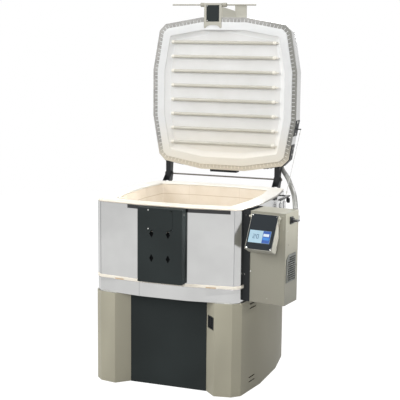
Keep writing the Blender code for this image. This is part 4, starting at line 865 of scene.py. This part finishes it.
def dressStayCable():
    upper, lower = inKiln(*stayCable["upper"]), inKiln(*stayCable["lower"])
    count, strands = stayCable["rings"], stayCable["strands"]
    spine = [upper.lerp(lower, ring / (count - 1)) for ring in range(count)]
    length = (lower - upper).length
    twist = math.tau * length / stayCable["lay"] / (count - 1)

    def radiusAt(ring, angle):
        wave = math.cos(strands * (angle - twist * ring / strands))
        return stayCable["radius"] * (1.0 - stayCable["strandDepth"] * (0.5 - wave / 2))

    shape = bmesh.new()
    addSweep(shape, spine, radiusAt, strands * 3)
    piece = crossingPiece("stayCableRope", finishedMesh(shape, "stayCableRope", 80.0), ("zinc",), "stay_cable")
    way = (lower - upper).normalized()
    for name, body, end, inward in (("Upper", "lid", upper, way), ("Lower", "root", lower, -way)):
        shape = bmesh.new()
        addTurned(shape, end + inward * stayCable["sleeveInset"], inward * stayCable["sleeveLength"],
                  stayCable["sleeveRadius"], stayCable["sides"], stayCable["sleeve"])
        name = "cableSleeve" + name
        makePiece(name, finishedMesh(shape, name), "satinNickel", body)


dressStayCable()

# Buffer springs: one wire each, with a plain leg at both ends, on the CAD solids' axis
bufferSpring = dict(radius=0.0075, wire=0.0011, curls=18, pitch=0.0062, leg=0.01, plain=0.008, perCurl=22, sides=8)


def dressSprings():
    curls, perCurl, plain = bufferSpring["curls"], bufferSpring["perCurl"], bufferSpring["plain"]
    for node in ("spring_front", "spring_rear"):
        low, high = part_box(node)

        def onAxis(z, reach=0.0, angle=0.0):
            return Vector(((low.x + high.x) / 2 + reach * math.cos(angle),
                           (low.y + high.y) / 2 + reach * math.sin(angle), z))

        spine = [onAxis(high.z), onAxis(high.z - plain)]
        for step in range(curls * perCurl + 1):
            turn = step / perCurl
            z = high.z - bufferSpring["leg"] - turn * bufferSpring["pitch"]
            spine.append(onAxis(z, bufferSpring["radius"] * min(1.0, turn, curls - turn), math.tau * turn))
        spine += [onAxis(low.z + plain), onAxis(low.z)]
        shape = bmesh.new()
        addSweep(shape, spine, lambda ring, angle: bufferSpring["wire"], bufferSpring["sides"])
        piece = makePiece(node + "Wire", finishedMesh(shape, node + "Wire", 60.0), "spring", "root")
        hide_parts(node)


dressSprings()

# Cabinet: a near-black sheet over its bottom, painted shade that keeps the louvres dark
cabinetFloor = dict(height=0.0008)


def dressCabinet():
    mesh = nodes["base_deck"].data.copy()
    mesh.transform(Matrix.Translation((0, 0, cabinetFloor["height"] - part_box("base_deck")[0].z)))
    makePiece("cabinetPaintedShade", mesh, "deepShade", "root")


dressCabinet()

# Front cover: a near-black sheet behind its diamond vents, painted shade seen through them
coverShade = dict(halfWidth=0.104, low=0.56, high=0.77, behind=0.006, thickness=0.001)


def dressCoverShade():
    front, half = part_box("front_cover")[0].y + coverShade["behind"], coverShade["halfWidth"]
    sides = rectangle(kilnX - half, kilnX + half, coverShade["low"], coverShade["high"])
    corners = [Vector((x, front, z)) for x, z in sides]
    flatPiece("coverVentPaintedShade", corners, (0, 1, 0), coverShade["thickness"], "deepShade", "root")


dressCoverShade()

# Wing vent: a near-black sheet in the gap behind the grille, on the facet that a ray finds: painted shade seen
# through the grille
wingShade = dict(reach=0.05, above=0.004, margin=0.0025, lift=0.00005, thickness=0.00015)


def dressWingShade():
    low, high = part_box("base_vent_grille")
    inward = Vector((-1, -1, 0)).normalized()
    start = (low + high) / 2 - inKiln(0, 0, 0) + inward * wingShade["reach"]
    start.z = high.z + wingShade["above"]
    seat, outward = onSurface("base_cabinet", start, -inward)
    margin = wingShade["margin"]
    along = Vector((-outward.y, outward.x, 0)) * ((high.x - low.x) / 2 - margin) / abs(outward.y)
    foot = seat + outward * wingShade["lift"]
    corners = [Vector((foot.x + along.x * side, foot.y + along.y * side, z))
               for side, z in rectangle(-1, 1, low.z + margin, high.z - margin)]
    flatPiece("wingVentPaintedShade", corners, outward, wingShade["thickness"], "deepShade", "root")


dressWingShade()

# Control box: a door sheet over the front, leaving a flange strip at its left, with domed rivets
boxDoor = dict(left=0.0437, right=0.2098, low=0.459, high=0.8792, thickness=0.001, edge=0.0004, rivet=0.0026,
               rivets=((0.123, 0.4827), (0.05, 0.87), (0.2, 0.87)),
               dome=((-0.0002, 1.0), (0.0006, 0.96), (0.0011, 0.66), (0.0013, 0.2)), sides=16)


def dressBoxDoor():
    front, out = controlBox["front"], boxWay(0, -1, 0)
    sides = rectangle(boxDoor["left"], boxDoor["right"], boxDoor["low"], boxDoor["high"])
    flatPiece("boxDoorSheet", [inBox(x, front, z) for x, z in sides], out, boxDoor["thickness"], "boxPowder", "root",
              boxDoor["edge"])
    shape = bmesh.new()
    for x, z in boxDoor["rivets"]:
        addTurned(shape, inBox(x, front - boxDoor["thickness"], z), out, boxDoor["rivet"], boxDoor["sides"],
                  boxDoor["dome"])
    makePiece("boxDoorRivets", finishedMesh(shape, "boxDoorRivets", 60.0), "satinNickel", "root")


dressBoxDoor()

# Controller: the case's lip round the face
caseLip = dict(width=0.0016, proud=0.0007, edge=0.4)


def dressCase():
    wide, long = controller["width"], controller["length"]
    edge, proud = caseLip["width"], caseLip["proud"]
    for name, a0, a1, b0, b1 in (("caseLipTop", 0, wide, 0, edge), ("caseLipFoot", 0, wide, long - edge, long),
                                 ("caseLipLeft", 0, edge, edge, long - edge),
                                 ("caseLipRight", wide - edge, wide, edge, long - edge)):
        corners = [onFace(a, b, 0) for a, b in rectangle(a0, a1, b0, b1)]
        flatPiece(name, corners, faceWay, proud, "caseGrey", "controller",
                  proud * caseLip["edge"])


dressCase()

# Knurled heads of the tilt's thumb screws, each on the outer face of the bracket's knob
thumbScrew = dict(radius=0.0058, length=0.01, flutes=18, fluteDepth=0.06, knob=0.0035, fluted=(2, 5),
                  profile=((0.0, 0.6), (0.08, 0.6), (0.12, 1.0), (0.55, 1.0), (0.6, 0.97), (0.94, 0.9),
                           (1.0, 0.55)))


def dressThumbScrews():
    hinge = [joint for joint in frame["joints"] if joint["name"] == "controller_tilt"][0]
    first, last = thumbScrew["fluted"]

    def radiusAt(ring, angle):
        flute = math.cos(thumbScrew["flutes"] * angle) * thumbScrew["fluteDepth"] / 2
        swell = thumbScrew["profile"][ring][1]
        return thumbScrew["radius"] * swell * (1.0 + (flute if first <= ring <= last else 0.0))

    shape = bmesh.new()
    for side in (-1, 1):
        out = boxWay(side, 0, 0)
        start = Vector(hinge["pos_m"]) + out * (controller["width"] / 2 + thumbScrew["knob"])
        stations = [start + out * thumbScrew["length"] * share for share, _ in thumbScrew["profile"]]
        addSweep(shape, stations, radiusAt, thumbScrew["flutes"] * 4)
    makePiece("thumbScrewHeads", finishedMesh(shape, "thumbScrewHeads"), "satinNickel", "root")


dressThumbScrews()

# Hex bolts of the straps, brackets and stay, each seated by a ray and let in a little
hexBolt = dict(radius=0.0052, height=0.0036, head=((0.0, 1.0), (0.85, 1.0), (1.0, 0.86)), headSides=6,
               headSunk=0.0004, washer=0.0072, washerHeight=0.001, washerSides=20, washerSunk=0.0002)
bothSides = (("left", -1), ("right", 1))
boltRays = {
    "strapBolts": ("lid", [("hinge_arm_" + name, (side * 0.47, 0.4455, z), (-side, 0, 0))
                           for name, side in bothSides for z in (1.062, 1.094)]),
    "strapFootBolts": ("lid", [("hinge_arm_" + name, (side * x, 0.4455, 0.9), (0, 0, 1))
                               for name, side in bothSides for x in (0.242, 0.262)]),
    "bracketBolts": ("root", [("hinge_bracket_" + name, (side * 0.309, 0.52, z), (0, -1, 0))
                              for name, side in bothSides for z in (0.815, 0.845)]),
    "stayBolts": ("lid", [("stay_bracket", (0.47, 0.437, z), (-1, 0, 0)) for z in (1.17, 1.231)]),
    "anchorBolts": ("root", [("spring_anchor", (0.4075, y, 0.8), (0, 0, -1)) for y in (0.1435, 0.1775)]),
}


def dressBolts():
    height = hexBolt["washerHeight"]
    for name, (body, rays) in boltRays.items():
        shape = bmesh.new()
        for ray in rays:
            point, outward = onSurface(*ray)
            addTurned(shape, point - outward * hexBolt["washerSunk"], outward * height, hexBolt["washer"],
                      hexBolt["washerSides"])
            addTurned(shape, point + outward * (height - hexBolt["headSunk"]), outward * hexBolt["height"],
                      hexBolt["radius"], hexBolt["headSides"], hexBolt["head"])
        makePiece(name, finishedMesh(shape, name, 30.0), "zinc", body)


dressBolts()

# Screws along the wiring cover, seated from below
wiring = dict(xs=(-0.066, 0.066), ys=(0.434, 0.462), fromZ=0.9, screw=0.003)
wiringSeats = [onSurface("lid_wiring_cover", (x, y, wiring["fromZ"]), (0, 0, 1)) for x in wiring["xs"]
               for y in wiring["ys"]]
screwGroup("wiringCoverScrews", wiringSeats, wiring["screw"], "lid")
print("pieces dressed")

# Stage: white floor and sky, with the floor keeping a soft shadow
stage = dict(reach=6.0, steps=64, sunk=0.0005, floorShare=0.82, floorGlow=1.26, floorGrey=0.5, skyForDiffuse=0.18)


def seenBy(tree, *rays):
    # 1 for the named kinds of ray
    path = addNode(tree, "ShaderNodeLightPath")
    seen = path.outputs[rays[0]]
    for ray in rays[1:]:
        seen = calculate(tree, "MAXIMUM", seen, path.outputs[ray])
    return seen


def emptied(holder):
    holder.use_nodes = True
    holder.node_tree.nodes.clear()
    return holder.node_tree


def makeStage():
    world = bpy.data.worlds.new("studio")
    bpy.context.scene.world = world
    tree = emptied(world)
    seen = seenBy(tree, "Is Camera Ray", "Is Glossy Ray", "Is Transmission Ray")
    strength = spread(tree, seen, stage["skyForDiffuse"], 1.0)
    sky = addNode(tree, "ShaderNodeBackground", {"Color": (1, 1, 1, 1), "Strength": strength})
    addNode(tree, "ShaderNodeOutputWorld", {"Surface": sky.outputs[0]})

    mesh = bpy.data.meshes.new("floor")
    reach, steps = stage["reach"], stage["steps"]
    ring = [(reach * math.cos(math.tau * k / steps), reach * math.sin(math.tau * k / steps), 0.0)
            for k in range(steps)]
    mesh.from_pydata(ring, [], [list(range(steps))])
    floor = placed("floor", mesh)
    floor.location.z = -stage["sunk"]
    paint = bpy.data.materials.new("studioFloor")
    tree = emptied(paint)
    lit = calculate(tree, "MULTIPLY", seenBy(tree, "Is Camera Ray", "Is Glossy Ray"), stage["floorShare"])
    chalk = addNode(tree, "ShaderNodeBsdfDiffuse", {"Color": (*[stage["floorGrey"]] * 3, 1)})
    glow = addNode(tree, "ShaderNodeEmission", {"Color": (1, 1, 1, 1), "Strength": stage["floorGlow"]})
    mix = addNode(tree, "ShaderNodeMixShader", {0: lit, 1: chalk.outputs[0], 2: glow.outputs[0]})
    addNode(tree, "ShaderNodeOutputMaterial", {"Surface": mix.outputs[0]})
    floor.data.materials.append(paint)


# Place and aim are in the kiln's frame, the fan in degrees; what a lamp leaves out is as in plainLamp
plainLamp = dict(aim=(0, 0, 0.8), size=2.2, fan=180)
lamps = [
    dict(name="keyLamp", place=(-2.8, -3.2, 3.4), power=88.0),
    dict(name="leftLamp", place=(-3.2, -1.0, 2.6), power=45.0),
    dict(name="topLamp", place=(0.9, -0.4, 4.4), aim=(0.2, 0, 0.6), size=2.4, power=44.0),
    dict(name="frontLamp", place=(1.0, -4.6, 2.2), size=2.0, power=90.0),
    dict(name="rightLamp", place=(3.0, -1.4, 2.4), power=9.0),
    dict(name="highLamp", place=(1.7, -0.8, 3.4), aim=(-0.2, 0.1, 0.8), size=1.4, power=12.0),
    dict(name="boxLamp", place=(3.0, -0.36, 1.5), aim=(0.5, -0.28, 0.94), size=0.5, power=1.2, fan=18),
    dict(name="rearLamp", place=(-0.6, 3.8, 2.2), power=50.0),
]


def makeLamps():
    for setup in [{**plainLamp, **lamp} for lamp in lamps]:
        data = bpy.data.lights.new(setup["name"], "AREA")
        data.shape = "DISK"
        data.size = setup["size"]
        data.energy = setup["power"]
        data.spread = math.radians(setup["fan"])
        lamp = placed(setup["name"], data)
        place, aim = inKiln(*setup["place"]), inKiln(*setup["aim"])
        lamp.location = place
        lamp.rotation_euler = (aim - place).to_track_quat("-Z", "Y").to_euler()


makeStage()
makeLamps()
print("stage set")
